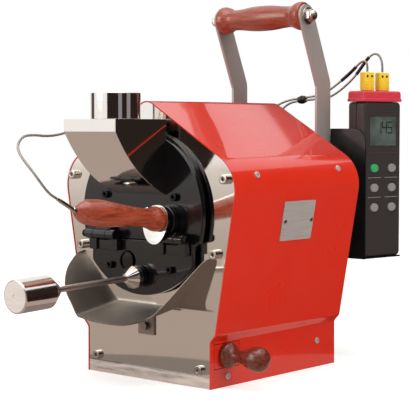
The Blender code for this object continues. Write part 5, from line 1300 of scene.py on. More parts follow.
@dataclass
class Door:
    """Discharge door with its sight glass, clevis leaves and weighted lever."""

    radius: float = 0.0915
    half: float = 0.070
    seam_z: float = 0.1447
    glass: Point = (-0.0185, 0.1225)
    glass_radius: float = 0.0098
    glass_proud: float = 0.0022
    lever_z: float = 0.108
    drop: float = math.radians(2.0)
    hub_radius: float = 0.01175
    collar_length: float = 0.0068
    rod_start: float = 0.0167
    rod_length: float = 0.1063
    weight_start: float = 0.1155
    weight_radius: float = 0.0162

    def leaf(self) -> None:
        """Cut the door, and set its studs."""
        low = math.acos(self.half / self.radius)
        rim = arc((0, SHAFT_Z), self.radius, math.pi + low, 2 * math.pi - low, 90)
        outline = [(self.half, self.seam_z), (-self.half, self.seam_z)] + rim
        form = plate([outline, circle(self.glass, self.glass_radius + GAP, 48)], DISC_THICK)
        make(
            "door_leaf", BLACK, "door_plate", soften(form, 0.0009, 3, 50),
            facing_front(DISC_FRONT), body=Body.DOOR,
        )
        disc_studs("door_studs", 0.042, 0.117, Body.DOOR)

    def window(self) -> None:
        """Turn the sight glass and the steel rim that holds it."""
        inner, total = self.glass_radius - 0.0015, DISC_THICK + self.glass_proud
        place = along((self.glass[0], DISC_BACK, self.glass[1]), FORWARD)
        pane = turned([
            (0.001, 0, 0), (0.001, inner + 0.0002, 0), (total - 0.0014, inner + 0.0002, 0.0002),
            (total - 0.0009, 0, 0),
        ], 64, 4)
        rim = barrel(total, self.glass_radius, (0.0002, 0.0005), 64, 4, inner)
        for name, finish, form in (("glass_rim", DARK_STEEL, rim), ("glass_pane", GLASS, pane)):
            make(name, finish, "sight_glass", form, place, body=Body.DOOR)

    def lever_place(self, distance: float) -> Matrix:
        """Return the place on the lever's axis at a distance from the door's face."""
        axis = Vector((0, -math.cos(self.drop), -math.sin(self.drop)))
        seat = GAP + self.hub_radius * math.sin(self.drop)
        return along(Vector((0, DISC_FRONT, self.lever_z)) + axis * (seat + distance), axis)

    def weighted_lever(self) -> None:
        """Turn the collar, the cone, the rod and the weight with its faced end."""
        radius, big = self.hub_radius, self.weight_radius
        collar = barrel(self.collar_length, radius * 0.93, (0.0006, 0.0008))
        cone = turned([
            (0.0066, 0, 0), (0.0066, radius * 0.90, 0), (0.0074, radius, 0.0005),
            (0.0122, radius, 0.0006), (0.0215, 0.0045, 0.0006), (0.0215, 0.0031, 0),
            (0.0165, 0.0031, 0), (0.0165, 0, 0),
        ])
        rod = barrel(self.rod_length, 0.003, steps=40)
        weight = turned([
            (0.008, 0, 0), (0.008, 0.0033, 0), (0, 0.0033, 0), (0, 0.0062, 0.0008),
            (0.0120, big - 0.0010, 0.0006), (0.0130, big, 0.0008), (0.0520, big, 0.0012),
            (0.0525, big - 0.0008, 0.0008), (0.0525, 0.0030, 0.0004), (0.0517, 0.0024, 0),
            (0.0517, 0, 0),
        ], 96)
        face = turned([
            (0.0518, 0, 0), (0.0518, big - 0.0014, 0), (0.0528, big - 0.0014, 0.0004),
            (0.0528, 0.0028, 0.0003), (0.0521, 0.0022, 0), (0.0521, 0, 0),
        ], 96)
        for name, finish, node, form, start in (
            ("lever_collar", BLACK, "lever_hub", collar, 0.0),
            ("lever_cone", TURNED, "lever_hub", cone, 0.0),
            ("lever_bar", ROD, "lever_rod", rod, self.rod_start),
            ("lever_weight", TURNED, "counterweight", weight, self.weight_start),
            ("weight_face", FACED, "counterweight", face, self.weight_start),
        ):
            make(name, finish, node, form, self.lever_place(start), body=Body.DOOR)

    def build(self) -> None:
        """Make the door and its lever."""
        self.leaf()
        self.window()
        self.weighted_lever()


@dataclass
class Hinges:
    """Two hinges between disc and door: a knuckle in a clevis, and a socket-head pin."""

    centre: float = 0.0475
    radius: float = 0.005
    knuckle: float = 0.0180
    ear: float = 0.0110
    ear_gap: float = 0.0004
    leaf_drop: float = 0.0165
    leaf_clear: float = 0.006
    leaf_thick: float = 0.0042
    inset: float = 0.0001
    edge: float = 0.0009
    foot_z: float = 0.1456
    crown: float = 0.0065
    strap_y: float = 0.002
    strap_top: float = 0.0006
    screw_rise: float = 0.0042
    screw: Head = Head(0.0024, 0.0012, 0.0026, 0.0008)
    pin: Head = Head(0.0040, 0.0042, 0.0040, 0.0022)
    pin_radius: float = 0.0022

    def part(self, start: float, length: float) -> tuple[Form, Matrix]:
        """Return a softly edged barrel on the pin's axis, and its place."""
        form = barrel(length, self.radius, (0.0005, 0.0005), 48, 3)
        return form, along((start, PIN_Y, HINGE_Z), ACROSS)

    def build_one(self, name: str, side: int) -> None:
        """Make one hinge.

        Args:
            name: left or right.
            side: -1 or 1.
        """
        middle, half = side * self.centre, self.knuckle / 2
        seat, front = DISC_FRONT - GAP, DISC_FRONT - GAP - self.leaf_thick
        fixed = Piece(f"disc_knuckle_{name}", BLACK, stands_for=(f"hinge_knuckle_{name}",))
        fixed.add(*self.part(middle - half, self.knuckle))
        reach = half - self.inset
        fixed.add(soften(block(
            (middle - reach, PIN_Y, self.foot_z), (middle + reach, seat, HINGE_Z + self.crown)
        ), self.edge)).done()
        moving = Piece(f"door_clevis_{name}", BLACK, Body.DOOR, (f"door_leaf_{name}",))
        inner, low = half + self.ear_gap, HINGE_Z - self.leaf_drop
        outer = inner + self.ear
        moving.add(soften(block(
            (middle - outer, front, low), (middle + outer, seat, HINGE_Z - self.leaf_clear)
        ), self.edge))
        for end in SIDES:
            start = middle + (inner if end > 0 else -outer)
            moving.add(*self.part(start, self.ear))
            moving.add(soften(block(
                (start + self.inset, PIN_Y + self.strap_y, low),
                (start + self.ear - self.inset, front + self.leaf_thick / 2,
                 HINGE_Z - self.strap_top),
            ), 0.0007))
            across = middle + end * (inner + self.ear / 2)
            moving.add(
                self.screw.forms(), along((across, front, low + self.screw_rise), FORWARD)
            )
        moving.done()
        head = Piece(f"pin_head_{name}", DARK_STEEL, Body.DOOR, (f"hinge_pin_{name}",))
        place = along((side * (self.centre + outer + GAP), PIN_Y, HINGE_Z), ACROSS * side)
        head.add(self.pin.forms(), place)
        shank = barrel(2 * (outer + GAP), self.pin_radius, (0, 0.0003), 24)
        head.add(shank, along(place.translation, -ACROSS * side)).done(angle=30)

    def build(self) -> None:
        """Make both hinges."""
        self.build_one("left", -1)
        self.build_one("right", 1)


# ---- hopper, sampler and tray


@dataclass
class Hopper:
    """Filling chute of polished sheet with an open collar on top."""

    half: float = 0.036
    front: float = -0.093
    back: float = -0.0213
    top: float = 0.2675
    band: float = 0.0122
    foot: float = 0.1918
    front_slope: float = math.radians(60)
    foot_slope: float = math.radians(21)
    sheet: float = 0.0012
    overlap: float = 0.0002
    collar_radius: float = 0.0253
    collar_top: float = 0.2935
    collar_y: float = -0.057

    def curve(self, steps: int = 28) -> Path:
        """Return the chute's front and foot in Y and Z, from its top edge down."""
        start, end = Vector((self.front, self.top - self.band)), Vector((self.back, self.foot))
        down = Vector((math.cos(self.front_slope), -math.sin(self.front_slope)))
        up = Vector((-math.cos(self.foot_slope), math.sin(self.foot_slope)))
        bend = start + down * (end - start).cross(up) / down.cross(up)
        points = [(self.front, self.top)]
        for step in range(steps + 1):
            share = step / steps
            point = start * (1 - share) ** 2 + bend * 2 * share * (1 - share) + end * share ** 2
            points.append(tuple(point))
        return points

    def build(self) -> None:
        """Fold the chute and seam the collar on."""
        outer, inner_half = self.curve(), self.half - self.sheet
        piece = Piece("chute", MIRROR, stands_for=("hopper_chute",))
        cheek = outer + [(self.back, self.top)]
        for start in (-self.half, inner_half):
            piece.add(soften(plate([cheek], self.sheet), 0.00035, 2, 50), facing_side(start))
        wide = inner_half + self.overlap
        strip = plate([outer + offset(outer, self.sheet)[::-1]], 2 * wide)
        piece.add(strip, facing_side(-wide))
        inside = self.collar_radius - self.sheet
        lid = plate([
            rectangle((GAP - self.half, self.front + GAP), (self.half - GAP, self.back)),
            circle((0, self.collar_y), inside, 96),
        ], self.sheet)
        piece.add(lid, Matrix.Translation((0, 0, self.top - self.sheet))).done(angle=25)
        rise = self.collar_top - self.top - GAP
        make(
            "collar", MIRROR, "hopper_collar",
            barrel(rise, self.collar_radius, (0.0002, 0.0005), 128, 4, inside),
            along((0, self.collar_y, self.top + GAP), UPWARD),
        )


@dataclass
class Sampler:
    """Trier that slides in its bush: shield, turned handle and the probe's sleeve."""

    place: Triple = (0.0387, DISC_FRONT, 0.1666)
    rise: float = math.radians(6.8)
    sleeve_rise: float = math.radians(28)
    sleeve_reach: float = 0.027
    sleeve_seat: float = 0.004
    guide_reach: float = 0.0135
    bore: float = 0.0078
    wood_start: float = 0.0164
    wood_length: float = 0.112
    flange: float = 0.0125
    neck: float = 0.0095
    bulge: float = 0.0130
    tip: float = 0.0070

    @staticmethod
    def axis(rise: float = rise) -> Vector:
        """Return a direction out of the disc and up, which is the sampler's if none is given."""
        return Vector((0, -math.cos(rise), math.sin(rise)))

    @staticmethod
    def point(distance: float) -> Vector:
        """Return a point on the axis at a distance ahead of the disc's face."""
        return Vector(Sampler.place) + Sampler.axis() * distance

    @staticmethod
    def sleeve_axis() -> Vector:
        """Return the sleeve's direction, up and forward."""
        return Sampler.axis(Sampler.sleeve_rise)

    @staticmethod
    def sleeve_end(reach: float = sleeve_reach) -> Vector:
        """Return the sleeve's open end, or a point on its axis at another reach."""
        wood_end = Sampler.point(Sampler.wood_start + Sampler.wood_length)
        return wood_end + Sampler.sleeve_axis() * reach

    def bush(self) -> None:
        """Turn the black bush in the disc, with its boss."""
        length = self.guide_reach + DISC_THICK
        form = turned([
            (0, self.bore, 0), (0, 0.0110, 0), (length - 0.0070, 0.0110, 0.0003),
            (length - 0.0060, 0.0104, 0.0004), (length - 0.0050, 0.0104, 0.0004),
            (length - 0.0042, 0.0110, 0.0003), (length, 0.0110, 0.0008), (length, self.bore, 0),
        ], 72, 4)
        boss = barrel(0.0080, 0.0155, (0.0004, 0.0010), 72, 4, 0.0106)
        piece = Piece("sampler_bush", BLACK, stands_for=("sampler_guide",))
        piece.add(form, along(self.point(-DISC_THICK), self.axis()))
        piece.add(boss, along(self.point(0) + FORWARD * GAP, FORWARD)).done()

    def shield(self) -> None:
        """Cut the polished shield: two lobes above, one round foot below."""
        knots = [
            (-0.0036, 0.0140), (0.0033, 0.0134), (0.0101, 0.0094), (0.0134, 0.0023),
            (0.0131, -0.0068), (0.0096, -0.0160), (0.0037, -0.0233), (-0.0036, -0.0252),
            (-0.0107, -0.0227), (-0.0163, -0.0160), (-0.0199, -0.0068), (-0.0220, 0.0023),
            (-0.0208, 0.0083), (-0.0161, 0.0113), (-0.0117, 0.0102), (-0.0087, 0.0130),
        ]
        outline = smooth_curve(knots[-2:] + knots + knots[:2])[12:-12]
        form = plate([outline, circle((0, 0), self.bore, 48)], 0.0016)
        upper = Vector((0, math.sin(self.rise), math.cos(self.rise)))
        place = frame_of(ACROSS, upper, self.axis(), self.point(self.guide_reach + 0.0010))
        make(
            "polished_shield", MIRROR, "sampler_shield", soften(form, 0.0004, 3, 50), place,
            body=Body.SAMPLER,
        )

    def handle(self) -> None:
        """Turn the wooden handle."""
        outer = swell([
            (0.0, self.flange * 0.92), (0.02, self.flange), (0.06, self.flange * 0.98),
            (0.11, self.neck * 1.12), (0.17, self.neck), (0.30, self.neck * 1.04),
            (0.50, self.bulge * 0.88), (0.70, self.bulge), (0.82, self.bulge * 0.97),
            (0.91, self.bulge * 0.84), (0.97, self.tip), (1.0, self.tip * 0.55),
        ], self.wood_length)
        profile = [(0.020, 0), (0.020, self.bore), (0, self.bore)] + outer
        make(
            "turned_handle", TRIER_WOOD, "sampler_handle",
            lathe(profile + [(self.wood_length, 0)], 96),
            along(self.point(self.wood_start), self.axis()), body=Body.SAMPLER, angle=50,
        )

    def sleeve(self) -> None:
        """Draw the steel sleeve of the probe, bent up from the handle."""
        make("steel_sleeve", SHINE, "probe_sleeve", turned([
            (0, 0, 0), (0, 0.0020, 0), (0.0045, 0.0020, 0), (0.0045, 0.0026, 0.0002),
            (0.0075, 0.0026, 0.0004), (0.0080, 0.0020, 0), (0.0262, 0.0020, 0),
            (0.0268, 0.0017, 0.0002), (0.0300, 0.0017, 0.0002), (0.0310, 0.0013, 0.0002),
            (0.0310, 0, 0),
        ], 40, 3), along(self.sleeve_end(-self.sleeve_seat), self.sleeve_axis()), body=Body.SAMPLER)

    def build(self) -> None:
        """Make the sampler; its scooped tube keeps its solid."""
        self.bush()
        self.shield()
        self.handle()
        self.sleeve()
        dress_nodes(TUBE, "sampler_tube")


@dataclass
class Tray:
    """Bean tray: a trough of linished sheet with raised wings and a round rim."""

    floor_z: float = 0.079
    back: float = -0.0100
    floor_half: float = 0.042
    climb_right: float = 1.2
    slope: float = math.radians(10)
    sheet: float = 0.0012
    bend: float = 0.008
    flange: float = 0.013
    rim: tuple[Point, ...] = (
        (-0.0920, 0.0100), (-0.0905, 0.0160), (-0.0832, 0.0340), (-0.0729, 0.0480),
        (-0.0633, 0.0550), (-0.0524, 0.0578), (-0.0400, 0.0610), (-0.0163, 0.0672),
        (0.0023, 0.0700), (0.0231, 0.0700), (0.0335, 0.0665), (0.0390, 0.0575),
        (0.0435, 0.0440), (0.0483, 0.0365), (0.0531, 0.0325), (0.0664, 0.0245),
        (0.0747, 0.0192), (0.0831, 0.0135), (0.0860, 0.0095),
    )

    def height(self, across: float) -> float:
        """Return the trough's height at its back, at a distance from its middle."""
        start = self.floor_half - self.bend * math.tan(math.pi / 8)
        end = self.floor_half + self.bend * math.tan(math.pi / 8) * math.cos(math.pi / 4)
        here = abs(across)
        if here <= start:
            return self.floor_z
        if here <= end:
            return self.floor_z + self.bend - math.sqrt(self.bend ** 2 - (here - start) ** 2)
        climb = self.climb_right if across > 0 else 1.0
        return self.floor_z + end - self.floor_half + (here - end) * climb

    def build(self) -> None:
        """Press the trough and its flange; the bracket below keeps its solid."""
        edge = smooth_curve([(across, run, 0) for across, run in self.rim], 8)
        form = sheet_of([(point[0], self.height(point[0])) for point in edge], 1.0)
        for vert in form.verts:
            nearest = min(edge, key=lambda point: abs(point[0] - vert.co.x))
            run = nearest[1] * vert.co.z
            vert.co = (vert.co.x, self.back - run, vert.co.y - run * math.tan(self.slope))
        for face in form.faces:
            face.normal_update()
            if face.normal.z < 0:
                face.normal_flip()
        bmesh.ops.solidify(form, geom=form.faces[:], thickness=self.sheet)
        piece = Piece("bean_trough", TROUGH, stands_for=("bean_tray",))
        piece.add(soften(form, 0.0003, 2, 60))
        half = self.floor_half - self.bend
        piece.add(soften(block(
            (-half, self.back - self.sheet, self.floor_z - self.flange),
            (half, self.back, self.floor_z - self.sheet / 2),
        ), 0.0003)).done(angle=30)
        dress_nodes(TROUGH, "tray_bracket")


# ---- drum's drive, handle and thermometer


@dataclass
class MotorCover:
    """Black cover behind the rear plate, with vents and the inlet's collar."""

    half: float = 0.0582
    low: float = 0.116
    high: float = 0.250
    front: float = 0.1950
    back: float = 0.2747
    round: float = 0.005
    sheet: float = 0.0015
    vents: int = 6
    vent_pitch: float = 0.009
    vent_half: Point = (0.0015, 0.020)
    inlet_z: float = 0.134
    inlet_bore: float = 0.0035
    inlet_seat: float = 0.0010
    screw_inset: float = 0.012
    screw: Head = Head(0.0030, 0.0016)

    def build(self) -> None:
        """Fold the cover and punch its vents."""
        size = (2 * self.half, self.high - self.low, self.round)
        middle = (self.low + self.high) / 2
        start = self.back - self.front - self.round
        rings = [(rounded_box(*size), 0.0)]
        rings += [
            (rounded_box(*size, -self.round * (1 - cosine) * 0.999), start + self.round * sine)
            for sine, cosine in quarter(6)
        ]
        holes = []
        for index in range(self.vents):
            across, up = (index - (self.vents - 1) / 2) * self.vent_pitch, SHAFT_Z - middle
            wide, high = self.vent_half
            low, top = (across - wide, up - high), (across + wide, up + high)
            holes.append(rounded_ring(low, top, 0.0014))
        holes.append(circle((0, self.inlet_z - middle), self.inlet_bore, 24))
        form = loft(rings, holes)
        bmesh.ops.solidify(form, geom=form.faces[:], thickness=self.sheet)
        place = frame_of(-ACROSS, UPWARD, BACKWARD, (0, self.front, middle))
        piece = Piece("drive_cover", SATIN, stands_for=("motor_cover",)).add(form, place)
        inlet = barrel(0.0100, 0.0060, (0, 0.0008), 40, 4, self.inlet_bore)
        piece.add(inlet, along((0, self.back - self.inlet_seat, self.inlet_z), BACKWARD))
        piece.done(angle=30)
        fixings("cover_screws", SHINE, [
            (self.screw, along((side * (self.half - self.screw_inset), self.back, up), BACKWARD))
            for side in SIDES for up in (self.low + self.screw_inset, self.high - self.screw_inset)
        ])


@dataclass
class CarryHandle:
    """Two flat dog-leg bars with a turned grip on a tie rod between them."""

    bar_x: float = 0.060
    thick: float = 0.003
    width: float = 0.025
    bar_y: float = 0.2095
    foot: float = 0.160
    knee: float = 0.307
    knee_radius: float = 0.010
    grip_y: float = 0.178
    grip_z: float = 0.381
    bore: float = 0.0043
    bolts_z: Point = (0.178, 0.226)
    bolt: Head = Head(0.0045, 0.003, 0.0046, 0.0018)
    end_radius: float = 0.0155
    neck: float = 0.0115
    bulge: float = 0.0140
    rod_radius: float = 0.004
    washer: Point = (0.0015, 0.0095)
    nut: Point = (0.0054, 0.0072)

    def bars(self) -> None:
        """Cut both bars and bolt them on."""
        corners = [(self.bar_y, self.foot), (self.bar_y, self.knee), (self.grip_y, self.grip_z)]
        path = rounded(corners, [0, self.knee_radius, 0])
        half = self.width / 2
        left, right = offset(path, half), offset(path, -half)
        lean = math.atan2(self.grip_z - self.knee, self.grip_y - self.bar_y)
        end = arc(path[-1], half, lean - math.pi / 2, lean + math.pi / 2, 28)
        outlines = [right[:-1] + end + left[::-1][1:], circle(path[-1], self.bore, 32)]
        for name, side in (("left", -1), ("right", 1)):
            make(
                f"bar_{name}", BARS, f"handle_bar_{name}",
                soften(plate(outlines, self.thick), 0.0004, 2, 50),
                facing_side(side * self.bar_x - self.thick / 2), angle=30,
            )
            face = side * (self.bar_x + self.thick / 2)
            fixings(f"bar_bolts_{name}", DARK_STEEL, [
                (self.bolt, along((face, self.bar_y, height), ACROSS * side))
                for height in self.bolts_z
            ])

    def grip(self) -> None:
        """Turn the grip: flanged ends, two necks and a long swell."""
        half = self.bar_x - self.thick / 2 - GAP
        shares = [
            (0.0, self.end_radius * 0.93), (0.02, self.end_radius), (0.07, self.end_radius * 0.96),
            (0.13, self.neck * 1.05), (0.18, self.neck), (0.26, self.neck * 1.05),
            (0.38, self.bulge * 0.97), (0.5, self.bulge),
        ]
        shares += [(1 - share, radius) for share, radius in shares[-2::-1]]
        profile = [(0, self.bore)] + swell(shares, 2 * half) + [(2 * half, self.bore)]
        make(
            "turned_grip", GRIP_WOOD, "handle_grip", lathe(profile, 80),
            along((-half, self.grip_y, self.grip_z), ACROSS), angle=50,
        )

    def tie(self) -> None:
        """Fit the tie rod with its washers, hexagon nuts and dome ends."""
        face = self.bar_x + self.thick / 2 + GAP
        piece = Piece("tie_rod", ROD, stands_for=("handle_tie_rod",)).add(
            barrel(2 * face, self.rod_radius, steps=32),
            along((-face, self.grip_y, self.grip_z), ACROSS),
        )
        dome = [(0.0, 0.0), (0.0, 0.0056)]
        dome += [(0.0008 + 0.0042 * sine, 0.0058 * cosine) for sine, cosine in quarter(10)[:-1]]
        dome += [(0.0050, 0.0)]
        washer, nut = self.washer[0], self.nut[0]
        for side in SIDES:
            for form, out in (
                (barrel(*self.washer, (0.0002, 0.0004), 64, 3), 0.0),
                (soften(plate([circle((0, 0), self.nut[1], 6)], nut), 0.0005, 2, 50), washer),
                (lathe(dome, 48), washer + nut),
            ):
                start = (side * (face + out), self.grip_y, self.grip_z)
                piece.add(form, along(start, ACROSS * side))
        piece.done(angle=30)

    def build(self) -> None:
        """Make the handle."""
        self.bars()
        self.grip()
        self.tie()


@dataclass
class Thermometer:
    """Two-channel thermometer in its cradle, with cap, screen, buttons and plugs."""

    corner: Triple = (0.1065, 0.2235, 0.1156)
    turn: float = math.radians(9.65)
    width: float = 0.059
    depth: float = 0.026
    height: float = 0.172
    round: float = 0.0035
    wall: float = 0.0018
    window: tuple = (0.0085, 0.123, 0.0505, 0.156)
    columns: Point = (0.0155, 0.0435)
    rows: Triple = (0.0985, 0.0767, 0.0549)
    key: Point = (0.00625, 0.00475)
    key_crown: float = 0.0012
    plugs_apart: float = 0.012
    plug_half: float = 0.0080
    plug_foot: float = 0.1844
    plug_top: float = 0.2049
    ribs: tuple = (4, 0.1872, 0.0024)
    rib_width: float = 0.0044
    grips: tuple = (7, 0.066, 0.0042)
    digit_place: Point = (0.0112, 0.0145)
    digit_pitch: float = 0.0088
    cap_grow: float = 0.0024
    cap_steps: tuple[Point, ...] = (
        (-0.0004, 0.1723), (0, 0.1727), (0, 0.1752), (-0.0004, 0.1757), (-0.0009, 0.1759),
        (-0.0009, 0.1812), (-0.0012, 0.1824), (-0.0019, 0.1834), (-0.0030, 0.1840),
        (-0.0040, 0.1841),
    )

    @staticmethod
    def place() -> Matrix:
        """Return the case's place: X along its face, Y into it, Z up."""
        turn = Thermometer.turn
        across = Vector((math.sin(turn), math.cos(turn), 0))
        return frame_of(across, UPWARD.cross(across), UPWARD, Thermometer.corner)

    def face(self, depth: float) -> Matrix:
        """Return the place of a form drawn on the face that grows outwards from a depth."""
        return self.place() @ frame_of(ACROSS, UPWARD, FORWARD, (0, depth, 0))

    def oval(self, across: float, up: float, grow: float = 0.0) -> Path:
        """Return a button's outline."""
        return circle((across, up), (self.key[0] + grow, self.key[1] + grow), 40)

    def case(self) -> None:
        """Mould the hollow case, with its parting groove, window and button holes."""
        size = (self.width, self.height, self.round + 0.001)
        front, centre = self.depth - self.round, (self.width / 2, self.height / 2)
        steps = [
            (self.round * (1 - sine) + 0.00001, self.round * (1 - cosine))
            for sine, cosine in quarter(5)
        ]
        steps += [(0, 0.0128), (0.0007, 0.0131), (0.0007, 0.0139), (0, 0.0142)]
        steps += [
            (self.round * (1 - cosine) + 0.00001, front + self.round * sine)
            for sine, cosine in quarter(5)
        ]
        left, bottom, right, top = self.window
        holes = [rounded_ring((left, bottom), (right, top), 0.0008)]
        holes += [self.oval(across, up, GAP) for across in self.columns for up in self.rows]
        form = loft([(rounded_box(*size, -inset, centre), up) for inset, up in steps], holes)
        fill(form, [edge for edge in form.edges if edge.is_boundary and all(
            vert.co.z < 0.001 for vert in edge.verts)])
        bmesh.ops.recalc_face_normals(form, faces=form.faces)
        bmesh.ops.solidify(form, geom=form.faces[:], thickness=self.wall)
        make("meter_case", CASE, "thermometer_case", form, self.face(self.depth), angle=30)

    def trim(self) -> None:
        """Add the ridges of the face, its side grips, a black plate of painted shade inside the
        case and pale lines.
        """
        ridge = Piece("meter_face_trim", FACE)
        for low, high in (((0.004, 0.1150), (0.055, 0.1160)), ((0.004, 0.1610), (0.055, 0.1616))):
            strip = plate([rounded_ring(low, high, 0.0004)], 0.0007)
            ridge.add(soften(strip, 0.00025, 2, 50), self.face(GAP))
        count, foot, pitch = self.grips
        for up in (foot + index * pitch for index in range(count)):
            for across in (0.0002, self.width - 0.0002):
                form = block((across - 0.0006, 0.0055, up), (across + 0.0006, 0.0112, up + 0.0016))
                ridge.add(soften(form, 0.0004, 2), self.place())
        ridge.done(angle=30)
        # Painted shade: a black plate inside the case, seen dark through the gaps round the buttons
        # and the screen.
        shade_plate = block((0.003, 0.0062, 0.045), (self.width - 0.003, 0.0080, 0.160))
        make("meter_inner_shade_plate", SLEEVING, "", soften(shade_plate, 0.0004, 1), self.place())
        lines = Piece("meter_lines", INK)
        for up in (0.0877, 0.0659):
            for low, high in ((0.006, 0.0265), (0.0325, 0.053)):
                strip = plate([rounded_ring((low, up), (high, up + 0.0005), 0.0002)], 0.0002)
                lines.add(strip, self.face(0.00005))
        lines.done(angle=30)

    def screen(self) -> None:
        """Set the glass in its window, and the segments of its reading on it."""
        left, bottom, right, top = self.window
        low, corner = (left + GAP, bottom + GAP), (right - GAP, top - GAP)
        form = plate([rounded_ring(low, corner, 0.0006)], 0.0021)
        make(
            "display", SCREEN, "thermometer_screen", soften(form, 0.0002, 2, 50),
            self.face(0.0018),
        )
        piece = Piece("display_digits", DIGIT)
        high, wide, half = 0.0120, 0.0062, 0.00065
        bars = {
            "a": (0, high, wide, 0), "d": (0, 0, wide, 0), "g": (0, high / 2, wide, 0),
            "b": (wide, high / 2, 0, high / 2), "c": (wide, 0, 0, high / 2),
            "f": (0, high / 2, 0, high / 2),
        }
        for index, segments in enumerate(("bc", "fgbc", "afgcd")):
            for across, up, run, rise in (bars[key] for key in segments):
                x = left + self.digit_place[0] + index * self.digit_pitch + across
                y = bottom + self.digit_place[1] + up
                corners = rectangle((x - half, y - half), (x + run + half, y + rise + half))
                piece.add(plate([corners], 0.0001), self.face(-0.00025))
        piece.done(angle=30)

    def cap(self) -> None:
        """Mould the stepped red cap with its lower lip."""
        size = (self.width + self.cap_grow, self.depth + self.cap_grow, self.round)
        centre = (self.width / 2, self.depth / 2)
        form = loft([(rounded_box(*size, grow, centre), up) for grow, up in self.cap_steps])
        make("meter_cap", CAP, "thermometer_cap", form, self.place(), angle=30)

    def plugs(self) -> list[list[Item]]:
        """Mould both flat plugs, each with finger ribs, and its two screw holes as black discs of
        painted shade.

        Returns:
            Each plug's pieces, the body first.
        """
        made = []
        count, foot, pitch = self.ribs
        for index, side in ((1, -1), (2, 1)):
            middle, half = self.width / 2 + side * self.plugs_apart, self.plug_half
            piece = Piece(f"lead_plug_{index}", YELLOW, stands_for=(f"probe_plug_{index}",))
            piece.add(soften(block(
                (middle - half, 0.0092, self.plug_foot), (middle + half, 0.0168, self.plug_top)
            ), 0.0011), self.place())
            for front in (0.0090, 0.0170):
                for up in (foot + row * pitch for row in range(count)):
                    for left in (middle - 0.0074, middle + 0.0030):
                        rib = block((left, front - GAP, up),
                                    (left + self.rib_width, front + GAP, up + pitch / 2))
                        piece.add(soften(rib, 0.0002, 1), self.place())
            # Painted shade: thin black discs stand for the dark of the two screw holes.
            holes = Piece(f"lead_plug_hole_shade_{index}", SLEEVING)
            for across in (-0.0035, 0.0035):
                place = self.place() @ along((middle + across, 0.0092, 0.2005), FORWARD)
                holes.add(barrel(0.0003, 0.0014, (0.0002, 0.0001), 20, 2), place)
            made.append([piece.done(angle=30), holes.done()])
        return made

    def buttons(self) -> None:
        """Mould the six rubber buttons, each crowned."""
        bodies = iter((Body.POWER, Body.RECORD, Body.MODE, Body.HOLD, Body.ALARM, Body.LIGHT))
        for up in self.rows:
            for across in self.columns:
                body = next(bodies)
                rings = [(self.oval(across, up), 0.0)]
                rings += [
                    (self.oval(across, up, -self.key_crown * (1 - cosine)),
                     0.0038 + self.key_crown * sine)
                    for sine, cosine in quarter(5)
                ]
                name = body.value.replace("button", "key")
                finish = GREEN if body is Body.POWER else GREY
                piece = Piece(name, finish, body, (body.value,))
                piece.add(loft(rings), self.face(0.0032)).done(angle=40)

    def cradle(self) -> None:
        """Screw the black cradle on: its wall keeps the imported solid."""
        dress_nodes(SATIN, "thermometer_cradle")
        fixings("cradle_screws", DARK_STEEL, [
            (Head(0.0032, 0.0016), along((0.070, 0.2217, height), FORWARD))
            for height in (0.175, 0.226)
        ])

    def build(self) -> None:
        """Make the thermometer and its cradle."""
        self.case()
        self.trim()
        self.screen()
        self.cap()
        self.buttons()
        self.cradle()


# ---- drawer, label, and what keeps its solid


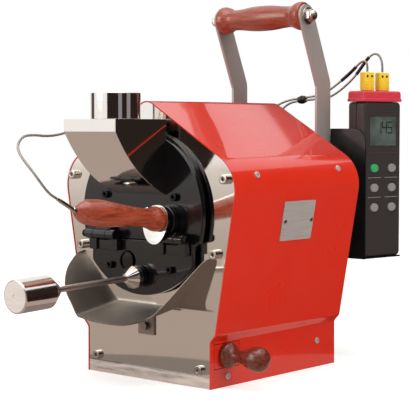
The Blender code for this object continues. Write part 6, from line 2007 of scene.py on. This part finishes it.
@dataclass
class Drawer:
    """Chaff drawer's painted front and its turned knob."""

    front: float = 0.0846
    thick: float = 0.0018
    low: Point = (-0.0059, 0.0196)
    high: Point = (0.0319, 0.0439)
    knob: Triple = (0.0867, 0.013, 0.03175)
    length: float = 0.0515
    base: float = 0.0130
    neck: float = 0.0065
    ball: float = 0.0127

    def build(self) -> None:
        """Make the front and the knob; the tray and its shelf keep their solids."""
        form = plate([rounded_ring(self.low, self.high, 0.0010)], self.thick)
        make(
            "drawer_panel", RED, "drawer_front", soften(form, 0.0003, 2, 50),
            facing_side(self.front), body=Body.DRAWER, angle=30,
        )
        base, neck, ball = self.base, self.neck, self.ball
        outer = swell([
            (0, base * 0.94), (0.03, base), (0.10, base * 0.97), (0.18, neck * 1.25),
            (0.28, neck), (0.42, neck * 1.12), (0.56, ball * 0.80), (0.68, ball * 0.97),
            (0.78, ball), (0.88, ball * 0.90), (0.96, ball * 0.62), (1, ball * 0.20),
        ], self.length)
        make(
            "turned_knob", KNOB_WOOD, "drawer_knob",
            lathe([(0, 0)] + outer + [(self.length, 0)], 80), along(self.knob, ACROSS),
            body=Body.DRAWER, angle=50,
        )
        dress_nodes(TROUGH, "drawer_tray", "drawer_shelf")


@dataclass
class Label:
    """Bare plate on the right side, held by two screws."""

    housing: Housing
    start: float = 0.068
    end: float = 0.120
    low: float = 0.144
    height: float = 0.041
    thick: float = 0.0010
    corner: float = 0.0015
    screw: Head = Head(0.0022, 0.0010)
    screw_inset: float = 0.004

    def build(self) -> None:
        """Cut the plate and screw it on."""
        out = self.housing.lean()
        up = out.cross(BACKWARD)
        start = (self.housing.wall_half(self.low), self.start, self.low)
        place = frame_of(BACKWARD, up, BACKWARD.cross(up), start)
        length = self.end - self.start
        form = plate([rounded_ring((0, 0), (length, self.height), self.corner)], self.thick)
        make(
            "bare_plate", BLANK, "name_plate", soften(form, 0.0003, 2, 50),
            place @ Matrix.Translation((0, 0, GAP)), angle=30,
        )
        fixings("plate_screws", ROD, [
            (self.screw, place @ Matrix.Translation((across, self.height / 2, self.thick + GAP)))
            for across in (self.screw_inset, length - self.screw_inset)
        ])


def main() -> None:
    """Build the studio and every sub-assembly in order."""
    logging.basicConfig(level=logging.INFO, format="%(name)s: %(message)s")
    bpy.context.scene.view_settings.view_transform = "Standard"
    Studio().build()
    Leads().build()
    housing = Housing()
    housing.build()
    for part in (
        EndPlates(housing), FrontDisc(), Door(), Hinges(), Hopper(), Sampler(), Tray(),
        MotorCover(), CarryHandle(), Thermometer(), Drawer(), Label(housing),
    ):
        LOG.info("building %s", type(part).__name__)
        part.build()
    dress_nodes(SCALED, "drum_shell", "drum_shaft", "rear_bearing", "gearmotor")
    dress_nodes(SHINE, "shaft_coupling")


if __name__ == "__main__":
    main()
